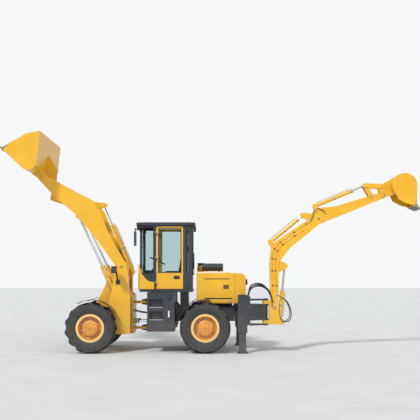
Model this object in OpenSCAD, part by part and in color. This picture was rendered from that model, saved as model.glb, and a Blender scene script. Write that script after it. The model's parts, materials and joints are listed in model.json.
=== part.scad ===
// Articulated backhoe loader: front loader arm, centre pivot, cab, and a side-shifting backhoe at the rear.
// Millimetres. +X is forward, +Y is the machine's left, +Z is up, and the ground is at z = 0.
// Side-view points are [x, z]. The backhoe's points are given in its own plane.

/* [Wheels and axles] */
// Tyre diameter
tyre_d = 1075; // [1000:5:1120]
// Tyre width
tyre_w = 410; // [360:5:430]
// Rim diameter over its flanges
rim_d = 600; // [540:5:640]
// Distance between the centre planes of the wheels
track = 1590; // [1560:5:1640]
// Centre pivot to front axle
front_reach = 1100; // [1090:5:1130]
// Centre pivot to rear axle
rear_reach = 1325; // [1300:5:1340]
// Diameter of an axle tube
axle_d = 150; // [120:5:170]
// Diameter of the differential housing
diff_d = 340; // [300:5:360]

/* [Frames] */
// Centre pivot's distance ahead of the origin
pivot_x = 1413; // [1380:1:1440]
// Diameter of the centre pivot pins
pivot_pin_d = 60; // [40:2:80]
// Thickness of frame plates
frame_t = 20; // [12:1:24]
// Distance between the rear frame's rails, centre to centre
rail_gap = 620; // [600:5:640]
// Distance from the centre line to a tower's inner plate
tower_in = 345; // [340:1:350]
// Distance from the centre line to a tower's outer plate
tower_out = 518; // [516:1:524]

/* [Cab] */
// Half width of the cab at the doors
cab_half = 600; // [590:5:620]
// Thickness of the cab's walls and doors
cab_t = 40; // [30:1:44]
// Height of the cab floor's top
floor_z = 1340; // [1330:5:1350]
// Height of the roof's top
roof_z = 2785; // [2760:5:2900]
// Thickness of the roof
roof_t = 60; // [40:2:80]
// Thickness of window glass
glass_t = 6; // [4:1:10]
// Width of a door
door_w = 570; // [540:5:575]

/* [Hood] */
// Width of the hood
hood_w = 900; // [860:5:930]
// Height of the hood's top at the cab
hood_z = 1730; // [1700:5:1760]
// Thickness of the hood's sheet
hood_t = 12; // [6:1:20]

/* [Loader] */
// Height of the arms' pivot
arm_pivot_z = 1840; // [1830:5:1850]
// Distance from the arms' pivot to the bucket's pins
arm_len = 2613; // [2580:5:2650]
// Rise of the arms in this pose, in degrees
arm_rise = 48.26; // [46:0.02:49]
// Distance from the centre line to an arm's middle
arm_y = 477; // [476:1:478]
// Thickness of an arm
arm_t = 45; // [36:1:48]
// Width of the loader bucket
bucket_w = 2200; // [2100:10:2300]
// Rise of the bucket's floor in this pose, in degrees
bucket_rise = 43; // [41:0.5:44]
// Thickness of the bucket's plates
bucket_t = 20; // [12:1:24]
// Number of teeth on the loader bucket
bucket_teeth = 6; // [4:1:8]

/* [Backhoe] */
// Distance from the centre line to the backhoe's plane in this pose
hoe_y = 700; // [680:5:705]
// Width of the boom
boom_w = 180; // [160:2:184]
// Width of the stick
stick_w = 140; // [120:2:144]
// Distance from the stick's pivot to the digging bucket's pin
stick_len = 1480; // [1450:5:1520]
// Rise of the stick in this pose, in degrees above straight back
stick_rise = 20; // [18:0.5:21]
// Width of the digging bucket
dig_w = 560; // [500:5:620]
// Number of teeth on the digging bucket
dig_teeth = 5; // [4:1:6]

/* [Stabilizers] */
// Distance from the centre line to a stabilizer leg
leg_y = 865; // [860:1:875]
// Length of a leg, from the sole to its top
leg_len = 850; // [800:5:880]
// Width of a foot plate
foot_w = 230; // [200:5:260]

/* [Hidden] */
$fn = 48;

// Clearance between a turning eye and the plates beside it
side_gap = 0.5;
// Clearance between a rod or pin and its bore
fit = 0.3;
// Running clearance between moving pieces
run_gap = 6;
// Extra length that makes a cut pass right through
cut = 2;

black = "#23262e";
yellow = "#f2b21b";
steel = "#c9ccd0";
rubber = "#26272a";
clear = "#9fb8c8";

// Wheel places
front_x = pivot_x + front_reach;
rear_x = pivot_x - rear_reach;
wheel_y = track / 2;
axle_z = tyre_d / 2;

// Side-view helpers
function u(a) = [cos(a), sin(a)];
function turn(p, a) = [p.x * cos(a) - p.y * sin(a), p.x * sin(a) + p.y * cos(a)];
function heading(v) = atan2(v.y, v.x);
function arc(c, r, from, to, n = 8) = [for (i = [0 : n]) c + r * u(from + (to - from) * i / n)];
// Outline of a flat link with round ends about p and q
function strap(p, q, rp, rq) =
    let (a = heading(q - p), b = acos((rp - rq) / norm(q - p)))
    concat(arc(p, rp, a + b, a + 360 - b, 16), arc(q, rq, a - b, a + b, 12));

// A plate of thickness t about the plane y, from a side-view outline
module plate(y, t) {
    translate([0, y + t / 2, 0]) rotate([90, 0, 0]) linear_extrude(t) children();
}
// A round piece along Y at the side-view point p
module round_y(p, y, d, w) {
    translate([p.x, y, p.y]) rotate([90, 0, 0]) cylinder(d = d, h = w, center = true);
}
// A block from its lowest corner to its highest
module block(a, b) {
    translate(a) cube(b - a);
}
// A block whose y limits are given for the left side, put on the side s
module side_block(s, a, b) {
    translate([a.x, min(s * a.y, s * b.y), a.z]) cube([b.x - a.x, abs(b.y - a.y), b.z - a.z]);
}
// Puts its child's +Z along the side-view heading a, from the point p
module along(p, a, y) {
    translate([p.x, y, p.y]) rotate([0, 90 - a, 0]) children();
}
// A hydraulic barrel from p towards q: eye, tube, bore for the rod and a gland ring
module ram_barrel(p, q, y, eye_d, eye_w, d, len, rod_d, bore_from) {
    a = heading(q - p);
    difference() {
        union() {
            round_y(p, y, eye_d, eye_w);
            along(p, a, y) translate([0, 0, eye_d * 0.3]) cylinder(d = min(d, eye_w) - 8, h = eye_d * 0.4);
            along(p, a, y) translate([0, 0, eye_d * 0.64]) cylinder(d = d, h = len - eye_d * 0.64);
            along(p, a, y) translate([0, 0, len - d * 0.5]) cylinder(d = d * 1.12, h = d * 0.4);
        }
        along(p, a, y) translate([0, 0, bore_from]) cylinder(d = rod_d + 2 * fit, h = len - bore_from + cut);
    }
}
// A hydraulic rod that ends in an eye at q, and starts at the distance from from p
module ram_rod(p, q, y, eye_d, eye_w, rod_d, from) {
    a = heading(q - p);
    along(p, a, y) translate([0, 0, from]) cylinder(d = rod_d, h = norm(q - p) - from - eye_d * 0.3);
    round_y(q, y, eye_d, eye_w);
}

// Wheels

rim_r = rim_d / 2;
bead_r = rim_r - 38;
rim_half = 150;
lip_t = 12;
disc_y = 30;
disc_t = 24;
hub_r = 165;

// Chevron lugs: height, thickness along the tread, sweep from middle to shoulder, and number of pairs
lug_h = 34;
lug_w = 52;
lug_sweep = 125;
lug_pairs = 14;

module tyre_envelope(tread_r) {
    half = tyre_w / 2;
    shoulder_r = tyre_d / 2 - 45;
    rotate_extrude($fn = 32) polygon([
        [bead_r + fit, -rim_half + fit], [rim_r + fit, -rim_half + fit], [rim_r + fit, -rim_half - lip_t],
        [rim_r + 20, -half + 20], [(rim_r + shoulder_r) / 2, -half], [min(shoulder_r, tread_r), -half + 8],
        [tread_r, -half + 50], [tread_r, half - 50], [min(shoulder_r, tread_r), half - 8],
        [(rim_r + shoulder_r) / 2, half], [rim_r + 20, half - 20], [rim_r + fit, rim_half + lip_t],
        [rim_r + fit, rim_half - fit], [bead_r + fit, rim_half - fit]]);
}
module tyre(x, side) {
    half = tyre_w / 2;
    color(rubber) translate([x, side * wheel_y, axle_z]) rotate([90, 0, 0]) {
        tyre_envelope(tyre_d / 2 - lug_h);
        intersection() {
            tyre_envelope(tyre_d / 2);
            for (i = [0 : lug_pairs - 1], t = [-1, 1])
                rotate([0, 0, (i + (t > 0 ? 0.5 : 0)) * 360 / lug_pairs + 90])
                    translate([tyre_d / 2 - lug_h - 16, 0, 0]) rotate([0, 90, 0]) linear_extrude(lug_h + 40)
                        polygon([[t * 12, -(lug_w + lug_sweep) / 2], [t * 12, (lug_w - lug_sweep) / 2],
                            [-t * (half - 2), (lug_w + lug_sweep) / 2],
                            [-t * (half - 2), (lug_sweep - lug_w) / 2]]);
        }
    }
}
module rim(x, side) {
    color(yellow) translate([x, side * wheel_y, axle_z]) rotate([90, 0, 0]) scale([1, 1, -side])
        rotate_extrude($fn = 72) polygon([
            [0, disc_y], [bead_r - 16, disc_y], [bead_r - 16, -rim_half - lip_t], [rim_r, -rim_half - lip_t],
            [rim_r, -rim_half], [bead_r, -rim_half], [bead_r, rim_half], [rim_r, rim_half],
            [rim_r, rim_half + lip_t], [bead_r - 16, rim_half + lip_t], [bead_r - 16, disc_y + disc_t + 20],
            [bead_r - 40, disc_y + disc_t], [hub_r + 6, disc_y + disc_t], [hub_r, disc_y + disc_t + 60],
            [hub_r - 30, disc_y + disc_t + 72], [0, disc_y + disc_t + 76]]);
}
// An axle with its differential and hub flanges, under the pads that the frame rests on
axle_pad_z = axle_z + axle_d / 2 + 12;
module axle(x) {
    color(yellow) translate([x, 0, axle_z]) {
        for (s = [-1, 1]) side_block(s, [-100, 268, 0], [100, 366, axle_pad_z - axle_z]);
        rotate([90, 0, 0]) cylinder(d = axle_d, h = 2 * (wheel_y - 140), center = true);
        sphere(d = diff_d);
        for (s = [-1, 1]) {
            translate([0, s * (wheel_y - 140), 0]) rotate([90, 0, 0])
                cylinder(d = 270, h = 60, center = true);
            translate([0, s * (wheel_y + disc_y - side_gap - 100), 0])
                rotate([90, 0, 0]) cylinder(d = 200, h = 200, center = true);
            translate([0, s * diff_d * 0.42, 0]) rotate([s * -90, 0, 0])
                cylinder(d1 = 260, d2 = axle_d, h = 120);
        }
        rotate([0, -90, 0]) cylinder(d1 = 220, d2 = 130, h = diff_d / 2 + 90);
    }
}
module rear_axle() {
    axle(rear_x);
}
module front_axle() {
    axle(front_x);
}

// Rear frame, with the fork plates and pins of the centre pivot

rail_y = rail_gap / 2;
rail_low = 650;
rail_high = 960;
fork_low = 490;
fork_high = 1060;
lug_t = 50;
fork_t = 30;
frame_head_x = pivot_x - 440;
steer_z = 640;
cross_members = [-1855, -1035];
tie_r = 25;
hood_brackets = [-1350, -1975];
steer_rear = [pivot_x - 385, 250];
steer_front = [pivot_x + 165, 185];
steer_eye = 80;
steer_eye_w = 50;
beam_x = pivot_x - 2115;

module pivot_fork(z) {
    for (s = [-1, 1]) {
        translate([0, 0, z + s * (lug_t / 2 + side_gap + fork_t / 2) - fork_t / 2])
            linear_extrude(fork_t) polygon(concat(
                [[frame_head_x - 2, -300], [frame_head_x - 2, 300], [frame_head_x + 90, 290]],
                arc([pivot_x, 0], 90, 70, -70, 12), [[frame_head_x + 90, -290]]));
    }
    translate([pivot_x, 0, z]) cylinder(d = pivot_pin_d, h = lug_t + 2 * fork_t + 30, center = true);
}
bracket_w = hood_w / 2 - rail_y - frame_t / 2;
module rear_frame() {
    color(black) {
        for (s = [-1, 1]) {
            plate(s * rail_y, frame_t) difference() {
                polygon([
                    [beam_x + 110, rail_low], [frame_head_x - 260, rail_low],
                    [frame_head_x - 140, fork_low - 60], [frame_head_x, fork_low - 60],
                    [frame_head_x, fork_high + 60],
                    [frame_head_x - 200, fork_high + 60], [frame_head_x - 320, rail_high],
                    [beam_x + 110, rail_high]]);
                translate([beam_x + 150, 705]) circle(r = tie_r);
            }
            side_block(s, [rear_x - 100, 268, axle_pad_z], [rear_x + 100, 340, rail_low + cut]);
        }
        for (x = hood_brackets, s = [-1, 1])
            translate([pivot_x + x, s * (rail_y + frame_t / 2 - cut), 0])
                rotate([0, 0, s * 90]) rotate([90, 0, 0]) linear_extrude(40, center = true)
                    polygon([[0, 860], [bracket_w, 1010], [bracket_w, hood_low - fit], [0, hood_low - fit]]);
        member_y = rail_y - frame_t / 2 - fit;
        for (x = cross_members)
            block([pivot_x + x, -member_y, rail_low + 120], [pivot_x + x + 60, member_y, rail_low + 200]);
    }
}
// Head plate with the fork plates and pins of the centre pivot, and lugs for the steering rams
module pivot_forks() {
    inner = rail_y - frame_t / 2;
    color(black) {
        block([frame_head_x - frame_t, -inner, fork_low - 60], [frame_head_x, inner, fork_high + 60]);
        for (s = [-1, 1])
            translate([steer_rear.x, s * steer_rear.y, steer_z])
                for (t = [-1, 1]) translate([0, 0, t * (steer_eye_w / 2 + side_gap + 8)])
                    linear_extrude(16, center = true) polygon(concat(
                        [[frame_head_x - steer_rear.x - 2, s * -44],
                            [frame_head_x - steer_rear.x - 2, s * 44]],
                        arc([0, 0], 42, s * 90, s * -90, 12)));
        pivot_fork(fork_low);
        pivot_fork(fork_high);
    }
}

// Stabilizer beam across the back, with two rails for the carriage and two leg casings

casing_x = 200;
casing_y = 140;
casing_t = 10;
collar_h = 60;
leg_x = 150;
leg_w = 100;
casing_low = 440;
casing_high = 1240;
casing_h = casing_high - casing_low;
rail_top_z = 1000;
rail_bottom_z = 640;
rail_h = 90;
beam_back = beam_x - casing_x / 2;

module stabilizer_beam() {
    color(black) {
        for (s = [-1, 1]) {
            difference() {
                translate([beam_x, s * leg_y, (casing_low + casing_high) / 2])
                    cube([casing_x, casing_y, casing_high - casing_low], center = true);
                translate([beam_x, s * leg_y, casing_low + collar_h + casing_h / 2])
                    cube([leg_x + 2 * run_gap, leg_w + 2 * run_gap, casing_h - 2 * casing_t], center = true);
                translate([beam_x, s * leg_y, casing_low])
                    cube([leg_x + 2 * side_gap, leg_w + 2 * side_gap, 3 * collar_h], center = true);
            }
        }
        inner = leg_y - casing_y / 2;
        for (z = [rail_top_z - rail_h, rail_bottom_z])
            block([beam_back, -inner, z], [beam_back + 90, inner, z + rail_h]);
        block([beam_back + 60, -inner, rail_bottom_z + rail_h], [beam_back + 90, inner, rail_top_z - rail_h]);
        block([beam_back + 90, -rail_y - 10, rail_low], [beam_x + 110, rail_y + 10, rail_high]);
    }
}
module stabilizer_leg(s) {
    color(black) {
        translate([beam_x - leg_x / 2, s * leg_y - leg_w / 2, 20]) cube([leg_x, leg_w, leg_len - 20]);
        translate([beam_x - foot_w / 2, s * leg_y - leg_w / 2 - 20, 0]) cube([foot_w, leg_w + 40, 22]);
        for (t = [-1, 1])
            translate([beam_x + t * leg_x / 2 - t * 4, s * leg_y - leg_w / 2, 20]) rotate([-90, 0, 0])
                linear_extrude(leg_w) polygon([[0, 2], [t * 38, 2], [0, -60]]);
    }
}

// Engine block and hood

engine_low = rail_low + 200;
hood_front = pivot_x - 1135;
hood_back = pivot_x - 2206;
hood_low = 1045;

module engine() {
    color(black) {
        block([hood_front - 780, -240, engine_low], [hood_front - 100, 240, 1450]);
        block([hood_back + 90, -360, 1060], [hood_back + 170, 360, 1600]);
        block([hood_back + 170 - cut, -80, 1260], [hood_front - 780 + cut, 80, 1340]);
    }
}
function hood_side(t) = concat(
    [[hood_front - t, hood_low - cut * t / hood_t], [hood_front - t, hood_z - t]],
    [[hood_front - 600, hood_z - t], [hood_back + 330, hood_z - 25 - t]],
    arc([hood_back + 130, hood_z - 165], 130 - t, 75, 170, 6),
    [[hood_back + t + 6, hood_low + 260], [hood_back + t + 6, hood_low - cut * t / hood_t]]);
hood_y = hood_w / 2;
grille_z = [1130, 1210, 1290, 1370];
module hood() {
    color(yellow) difference() {
        plate(0, hood_w) polygon(hood_side(0));
        plate(0, hood_w - 2 * hood_t) polygon(hood_side(hood_t));
        for (s = [-1, 1])
            translate([0, s * hood_y, hood_z]) rotate([45, 0, 0]) cube([4 * hood_w, 60, 60], center = true);
        for (z = grille_z)
            block([hood_back - 60, -270, z], [hood_back + 80, 270, z + 46]);
        for (s = [-1, 1]) {
            block([hood_front - 720, s * hood_y - 6, 1560], [hood_front - 170, s * hood_y + 6, 1580]);
            block([hood_front - 780, s * hood_y - 6, 1130], [hood_front - 180, s * hood_y + 6, 1160]);
        }
    }
}
// Air cleaner with its dust bowl, silencer and stack lying and standing on the hood
module air_intake() {
    color(black) {
        translate([hood_front - 350, 90, hood_z + 95]) rotate([0, 90, 0])
            cylinder(d = 170, h = 460, center = true);
        for (x = [-490, -210])
            block([hood_front + x - 20, 40, hood_z + fit], [hood_front + x + 20, 140, hood_z + 30]);
        translate([hood_front - 80, -230, hood_z + fit]) cylinder(d = 150, h = 134);
        translate([hood_front - 80, -230, hood_z + 134 - cut]) cylinder(d1 = 110, d2 = 150, h = 60);
    }
}

// Cab

cab_back = pivot_x - 1045;
cab_front = pivot_x + 95;
door_x1 = pivot_x - 277;
door_x0 = door_x1 - door_w;
wall_top = roof_z - roof_t;
cab_plan = [[cab_back, 520], [door_x0 - 40, cab_half], [door_x1 + 40, cab_half], [cab_front, 430]];
function both_sides(p) = concat(p, [for (i = [len(p) - 1 : -1 : 0]) [p[i].x, -p[i].y]]);
sill_z = 1700;
glass_in = (cab_t - glass_t) / 2;
seat_x = cab_back + 190;

module cab_ring(inset, z0, z1) {
    translate([0, 0, z0]) linear_extrude(z1 - z0) offset(delta = -inset) polygon(both_sides(cab_plan));
}
module cab_shell() {
    color(black) {
        difference() {
            cab_ring(0, floor_z, wall_top);
            cab_ring(cab_t, floor_z - cut, wall_top + cut);
            for (s = [-1, 1]) {
                side_block(s, [door_x0 - 6, 500, floor_z + 14], [door_x1 + 6, 700, wall_top - 20]);
                side_block(s, [cab_back + 90, 400, sill_z], [door_x0 - 70, 700, wall_top - 110]);
                side_block(s, [door_x1 + 70, 300, sill_z], [cab_front - 50, 700, wall_top - 60]);
            }
            block([cab_front - 60, -360, sill_z], [cab_front + 60, 360, wall_top - 60]);
            block([cab_back - 60, -440, sill_z], [cab_back + 60, 440, wall_top - 110]);
        }
        for (s = [-1, 1]) cab_knuckles(s);
    }
}
module cab_floor() {
    color(black) {
        cab_ring(-10, floor_z - 50, floor_z);
        block([cab_back + 90, -rail_y, rail_high], [cab_back + 270, rail_y, floor_z - 50]);
        block([frame_head_x - 180, -rail_y, fork_high + 60], [frame_head_x - 30, rail_y, floor_z - 50]);
    }
}
door_hinges = [1480, 2020, 2560];
hinge_x = door_x1 + 7;
hinge_y = cab_half + 22;
knuckle_h = 40;
module cab_knuckles(s) {
    for (z = door_hinges) translate([hinge_x, s * hinge_y, z]) {
        translate([0, 0, -knuckle_h]) cylinder(d = 26, h = knuckle_h - side_gap);
        translate([0, 0, -knuckle_h]) cylinder(d = 12, h = 2 * knuckle_h);
        block([0, min(0, s * -30), -knuckle_h], [40, max(0, s * -30), -side_gap]);
    }
}
module cab_roof() {
    color(black) translate([0, 0, wall_top]) linear_extrude(roof_t) polygon(both_sides([
        [cab_back - 60, 560], [cab_back + 60, 655], [cab_front - 60, 655], [cab_front + 70, 520]]));
}
module cab_cowl() {
    color(yellow) {
        difference() {
            translate([0, 0, floor_z]) linear_extrude(560) polygon(both_sides([
                [cab_front + 1, 420], [cab_front + 20, 405], [cab_front + 52, 250]]));
            plate(0, 1200) polygon([[cab_front + 20, 2000], [cab_front + 60, 1500], [cab_front + 200, 2100]]);
        }
    }
}
module cab_glass() {
    color(clear) {
        for (s = [-1, 1]) {
            intersection() {
                difference() {
                    cab_ring(glass_in, sill_z + fit, wall_top - 60 - fit);
                    cab_ring(glass_in + glass_t, sill_z - cut, wall_top);
                }
                union() {
                    side_block(s, [door_x1 + 70 + fit, 365, sill_z], [cab_front - 50 - fit, 700, wall_top]);
                    side_block(s, [cab_back + 90 + fit, 400, sill_z],
                        [door_x0 - 70 - fit, 700, wall_top - 110 - fit]);
                }
            }
        }
        block([cab_front - glass_in - glass_t, -360 + fit, sill_z + fit],
            [cab_front - glass_in, 360 - fit, wall_top - 60 - fit]);
        block([cab_back + glass_in, -440 + fit, sill_z + fit],
            [cab_back + glass_in + glass_t, 440 - fit, wall_top - 110 - fit]);
    }
}
wheel_rim_d = 380;
lever_y = [-120, -40, 40, 120];
module cab_interior() {
    color(black) {
        block([seat_x + 30, -200, floor_z], [seat_x + 320, 200, floor_z + 260]);
        block([seat_x, -240, floor_z + 260 - cut], [seat_x + 400, 240, floor_z + 380]);
        plate(0, 460) polygon([[seat_x + 10, floor_z + 370], [seat_x + 110, floor_z + 370],
            [seat_x, floor_z + 950], [seat_x - 90, floor_z + 950]]);
        block([seat_x + 680, -130, floor_z], [seat_x + 880, 130, floor_z + 420]);
        along([seat_x + 700, floor_z + 400], 115, 0) cylinder(d = 60, h = 240);
        along([seat_x + 700, floor_z + 400], 115, 0) translate([0, 0, 238]) {
            difference() {
                cylinder(d = wheel_rim_d, h = 26);
                translate([0, 0, -cut]) cylinder(d = wheel_rim_d - 60, h = 26 + 2 * cut);
            }
            for (a = [0, 60, 120])
                rotate([0, 0, a]) translate([0, 0, 12]) cube([wheel_rim_d - 40, 30, 10], center = true);
            cylinder(d = 100, h = 24);
        }
        block([cab_back + cab_t + fit, -200, floor_z], [cab_back + cab_t + 60, 200, floor_z + 520]);
        for (y = lever_y) {
            translate([cab_back + cab_t + 40, y, floor_z + 510]) cylinder(d = 18, h = 190);
            translate([cab_back + cab_t + 40, y, floor_z + 690]) cylinder(d = 36, h = 50);
        }
    }
}
module door(s) {
    color(yellow) {
        difference() {
            side_block(s, [door_x0, cab_half - cab_t, floor_z + 20], [door_x1, cab_half, wall_top - 26]);
            side_block(s, [door_x0 + 50, 500, sill_z + 20], [door_x1 - 50, 700, wall_top - 80]);
        }
        for (z = door_hinges) translate([hinge_x, s * hinge_y, z]) difference() {
            union() {
                cylinder(d = 26, h = knuckle_h);
                side_block(s, [-50, -23, 0], [-1.5, -8, knuckle_h]);
            }
            translate([0, 0, -1]) cylinder(d = 12.2, h = knuckle_h + cut);
        }
    }
}
module door_glass(s) {
    y = s * (cab_half - cab_t / 2);
    color(clear) block([door_x0 + 50 + fit, y - glass_t / 2, sill_z + 20 + fit],
        [door_x1 - 50 - fit, y + glass_t / 2, wall_top - 80 - fit]);
}
mirror_x = cab_front + 60;
module cab_mirrors() {
    color(black) for (s = [-1, 1]) {
        translate([cab_front - 30, s * 480, wall_top - 90]) rotate([s * -90, 0, 0])
            linear_extrude(20) square(60, center = true);
        translate([mirror_x, s * 420, wall_top - 90]) rotate([0, -90, 0]) cylinder(d = 22, h = 60);
        translate([mirror_x, s * 420, wall_top - 90]) rotate([s * -90, 0, 0]) cylinder(d = 22, h = 440);
        translate([mirror_x, s * 860, wall_top - 300]) cube([40, 150, 300], center = true);
        translate([mirror_x, s * 860, wall_top - 160]) cylinder(d = 22, h = 81);
    }
}

// Work lamps under the roof, and round lamps on the hood's rear face

lamp_r = 62;
lamp_size = [50, 120, 90];
// [x, y] of each roof lamp on one side
roof_lamps = [[cab_front + 40, 310], [cab_back - 30, 460]];

module work_lamps() {
    color(black) for (s = [-1, 1]) {
        for (l = roof_lamps)
            translate([l.x, s * l.y, wall_top - lamp_size.z / 2]) cube(lamp_size, center = true);
        translate([hood_back - 30, s * 300, 1500]) rotate([0, 90, 0]) cylinder(r = lamp_r, h = 32);
    }
}

// Tanks and steps under the cab, and rear fenders

tank_front = pivot_x - 95;
tank_back = pivot_x - 675;
tank_low = 460;
tank_high = floor_z - 55;
tank_y0 = rail_y + frame_t / 2;

module tanks_and_steps() {
    color(black) for (s = [-1, 1]) {
        difference() {
            side_block(s, [tank_back, tank_y0, tank_low], [tank_front, 860, tank_high]);
            for (z = [700, 960])
                side_block(s, [tank_front - 330, 760, z], [tank_front - 40, 900, z + 190]);
        }
    }
}
fender_gap = 50;
fender_r = tyre_d / 2 + fender_gap;
module fender(x, from, to, y0, y1) {
    plate((y0 + y1) / 2, abs(y1 - y0)) polygon(concat(
        arc([x, axle_z], fender_r + 8, from, to, 10), arc([x, axle_z], fender_r, to, from, 10)));
}
fender_low = axle_z + 500;
module rear_fenders() {
    color(black) for (s = [-1, 1]) {
        fender(rear_x, 5, 100, s * 470, s * 900);
        side_block(s, [rear_x + 265, tank_y0, rail_high - 60], [rear_x + 300, tank_y0 + 12, fender_low + 18]);
        side_block(s, [rear_x + 265, tank_y0, fender_low], [rear_x + 300, 490, fender_low + 18]);
    }
}

// Front frame: two towers for the arms, a centre box, the pivot lugs and brackets for the rams

arm_pivot = [pivot_x + 485, arm_pivot_z];
lift_base = [pivot_x + 395, 760];
tilt_base = arm_pivot - 220 * u(arm_rise - 17.3);
tower_back = pivot_x + 295;
tower_top_back = pivot_x + 337;
tower_step = 1255;
tower_tube = [pivot_x + 450, 1560];
tie_down = [pivot_x + 740, 280];
arm_boss = 110;
ear_t = 20;
tilt_eye_w = 110;
lift_y = 405;
lift_eye_w = 80;

module inner_tower() {
    polygon(concat(
        [[tower_back - 50, 380], [pivot_x + 800, 380], [front_x - 150, axle_pad_z],
            [front_x + 150, axle_pad_z], [front_x + 150, 740], [pivot_x + 900, 1300],
            [pivot_x + 770, 1640]],
        arc(arm_pivot, 130, 20, 150, 8),
        [[tower_top_back, 1600], [tower_top_back, tower_step], [tower_back - 50, tower_step - 50]]));
}
module outer_tower() {
    polygon(concat(
        [[tower_back, 380], [pivot_x + 780, 380], [pivot_x + 800, 900], [pivot_x + 700, 1300]],
        arc(arm_pivot, 130, 0, 150, 8),
        [[tower_top_back, 1600], [tower_top_back, tower_step], [tower_back, tower_step - 40]]));
}
arm_pin_d = 60;
// Each tower is two plates with webs, the bosses of the arm's pivot and the pads of the lift ram
module arm_towers() {
    color(yellow) {
        for (s = [-1, 1]) {
            plate(s * tower_in, frame_t) inner_tower();
            plate(s * tower_out, frame_t) outer_tower();
            web_y0 = tower_in + frame_t / 2 - cut;
            web_y1 = tower_out - frame_t / 2 + cut;
            side_block(s, [tower_back, web_y0, 380], [tower_back + 20, web_y1, tower_step]);
            side_block(s, [tower_top_back, web_y0, tower_step - 20], [tower_top_back + 18, web_y1, 1880]);
            side_block(s, [tower_back, web_y0, tower_step - 20], [tower_top_back + 18, web_y1, tower_step]);
            boss_in = arm_y - arm_t / 2 - side_gap;
            boss_out = arm_y + arm_t / 2 + side_gap;
            round_y(arm_pivot, s * (web_y0 + boss_in) / 2, 150, boss_in - web_y0);
            round_y(arm_pivot, s * (boss_out + web_y1) / 2, 150, web_y1 - boss_out);
            round_y(arm_pivot, s * (tower_in + tower_out) / 2, arm_pin_d, tower_out - tower_in + 50);
            pad0 = tower_in + frame_t / 2;
            pad1 = lift_y - lift_eye_w / 2 - side_gap;
            pad2 = lift_y + lift_eye_w / 2 + side_gap;
            pad3 = tower_out - frame_t / 2;
            if (pad1 > pad0) round_y(lift_base, s * (pad0 + pad1) / 2, 110, pad1 - pad0);
            round_y(lift_base, s * (pad2 + pad3) / 2, 110, pad3 - pad2);
        }
    }
}
// Centre box between the towers, with the pivot lugs and the brackets for the tilt and steering rams
module front_frame() {
    color(yellow) {
        inner = tower_in - frame_t / 2;
        for (s = [-1, 1])
            translate([steer_front.x, s * steer_front.y, steer_z])
                for (t = [-1, 1]) translate([0, 0, t * (steer_eye_w / 2 + side_gap + 8)])
                    linear_extrude(16, center = true) polygon(concat(
                        [[84, -60], [84, 60]], arc([0, 0], 42, 90, 270, 12)));
        block([tower_back - 50, -inner, 380], [tower_back - 30, inner, tower_step - 50]);
        difference() {
            block([tower_back - 30 - cut, -inner, 380], [pivot_x + 800, inner, 380 + frame_t]);
            for (s = [-1, 1])
                translate([tie_down.x, s * tie_down.y, 380 - cut]) cylinder(r = tie_r, h = frame_t + 2 * cut);
        }
        block([tower_back - 30 - cut, -inner, tower_step - 70], [pivot_x + 965, inner, tower_step - 50]);
        plate(0, 2 * inner) polygon([
            [pivot_x + 770, 1600], [pivot_x + 790, 1600], [pivot_x + 920, 1300], [front_x + 60, 860],
            [front_x + 40, 850], [pivot_x + 900, 1300]]);
        round_y(tower_tube, 0, 110, 2 * inner);
        for (t = [-1, 1])
            plate(t * (tilt_eye_w / 2 + side_gap + ear_t / 2), ear_t)
                polygon(strap(tower_tube, tilt_base, 65, 55));
        for (z = [fork_low, fork_high]) {
            translate([0, 0, z]) difference() {
                linear_extrude(lug_t, center = true) polygon(concat(
                    [[tower_back - 50 + cut, -200], [tower_back - 50 + cut, 200]],
                    arc([pivot_x, 0], 80, 105, 255, 14)));
                translate([pivot_x, 0, 0])
                    cylinder(d = pivot_pin_d + 2 * fit, h = lug_t + cut, center = true);
            }
        }
    }
}
stalk_y = tower_out + frame_t / 2;
module front_fenders() {
    color(black) for (s = [-1, 1]) {
        fender(front_x, 60, 150, s * stalk_y, s * 900);
        side_block(s, [pivot_x + 515, stalk_y, 1455], [pivot_x + 605, stalk_y + 20, 1545]);
        translate([pivot_x + 560, s * (stalk_y + 16), 1500]) rotate([s * -50, 0, 0])
            cylinder(d = 40, h = 340);
        translate([pivot_x + 600, s * 830, 1770]) cube([90, 230, 150], center = true);
    }
}

// Steering rams, between the frames beside the pivot

steer_d = 70;
steer_rod_d = 34;
steer_len = norm(steer_front - steer_rear);
steer_barrel_len = 350;
steer_bore = 55;
steer_in = 165;

module steer_place(s) {
    translate([steer_rear.x, s * steer_rear.y, steer_z])
        rotate([0, 0, s * heading(steer_front - steer_rear)]) children();
}
module steering_barrel(s) {
    color(black) steer_place(s) difference() {
        union() {
            cylinder(d = steer_eye, h = steer_eye_w, center = true);
            translate([20, 0, 0]) rotate([0, 90, 0]) cylinder(d = steer_eye_w - 4, h = 40);
            translate([50, 0, 0]) rotate([0, 90, 0]) cylinder(d = steer_d, h = steer_barrel_len - 50);
        }
        translate([steer_bore, 0, 0]) rotate([0, 90, 0])
            cylinder(d = steer_rod_d + 2 * fit, h = steer_barrel_len - steer_bore + cut);
    }
}
module steering_rod(s) {
    color(steel) steer_place(s) {
        translate([steer_barrel_len - steer_in, 0, 0]) rotate([0, 90, 0])
            cylinder(d = steer_rod_d, h = steer_len - steer_barrel_len + steer_in - 20);
        translate([steer_len, 0, 0]) cylinder(d = steer_eye, h = steer_eye_w, center = true);
    }
}

// Loader arms, in a frame with its origin at the arms' pivot and +X along the line to the bucket's pins

function arm_pt(p) = arm_pivot + turn(p, arm_rise);
bucket_pin = arm_pt([arm_len, 0]);
lift_eye = arm_pt([1443, 28]);
rocker_pin = arm_pt([1689, 170]);
rocker_tip = arm_pt([1301, 584]);
rocker_low = rocker_pin + 600 * u(arm_rise - 34.7);
cross_tube = arm_pt([1340, 160]);
bucket_boss = 85;
rocker_y = 45;
rocker_t = 20;
ear_in = rocker_y + rocker_t / 2 + side_gap;
link_w = 2 * (rocker_y - rocker_t / 2 - side_gap);

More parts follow.
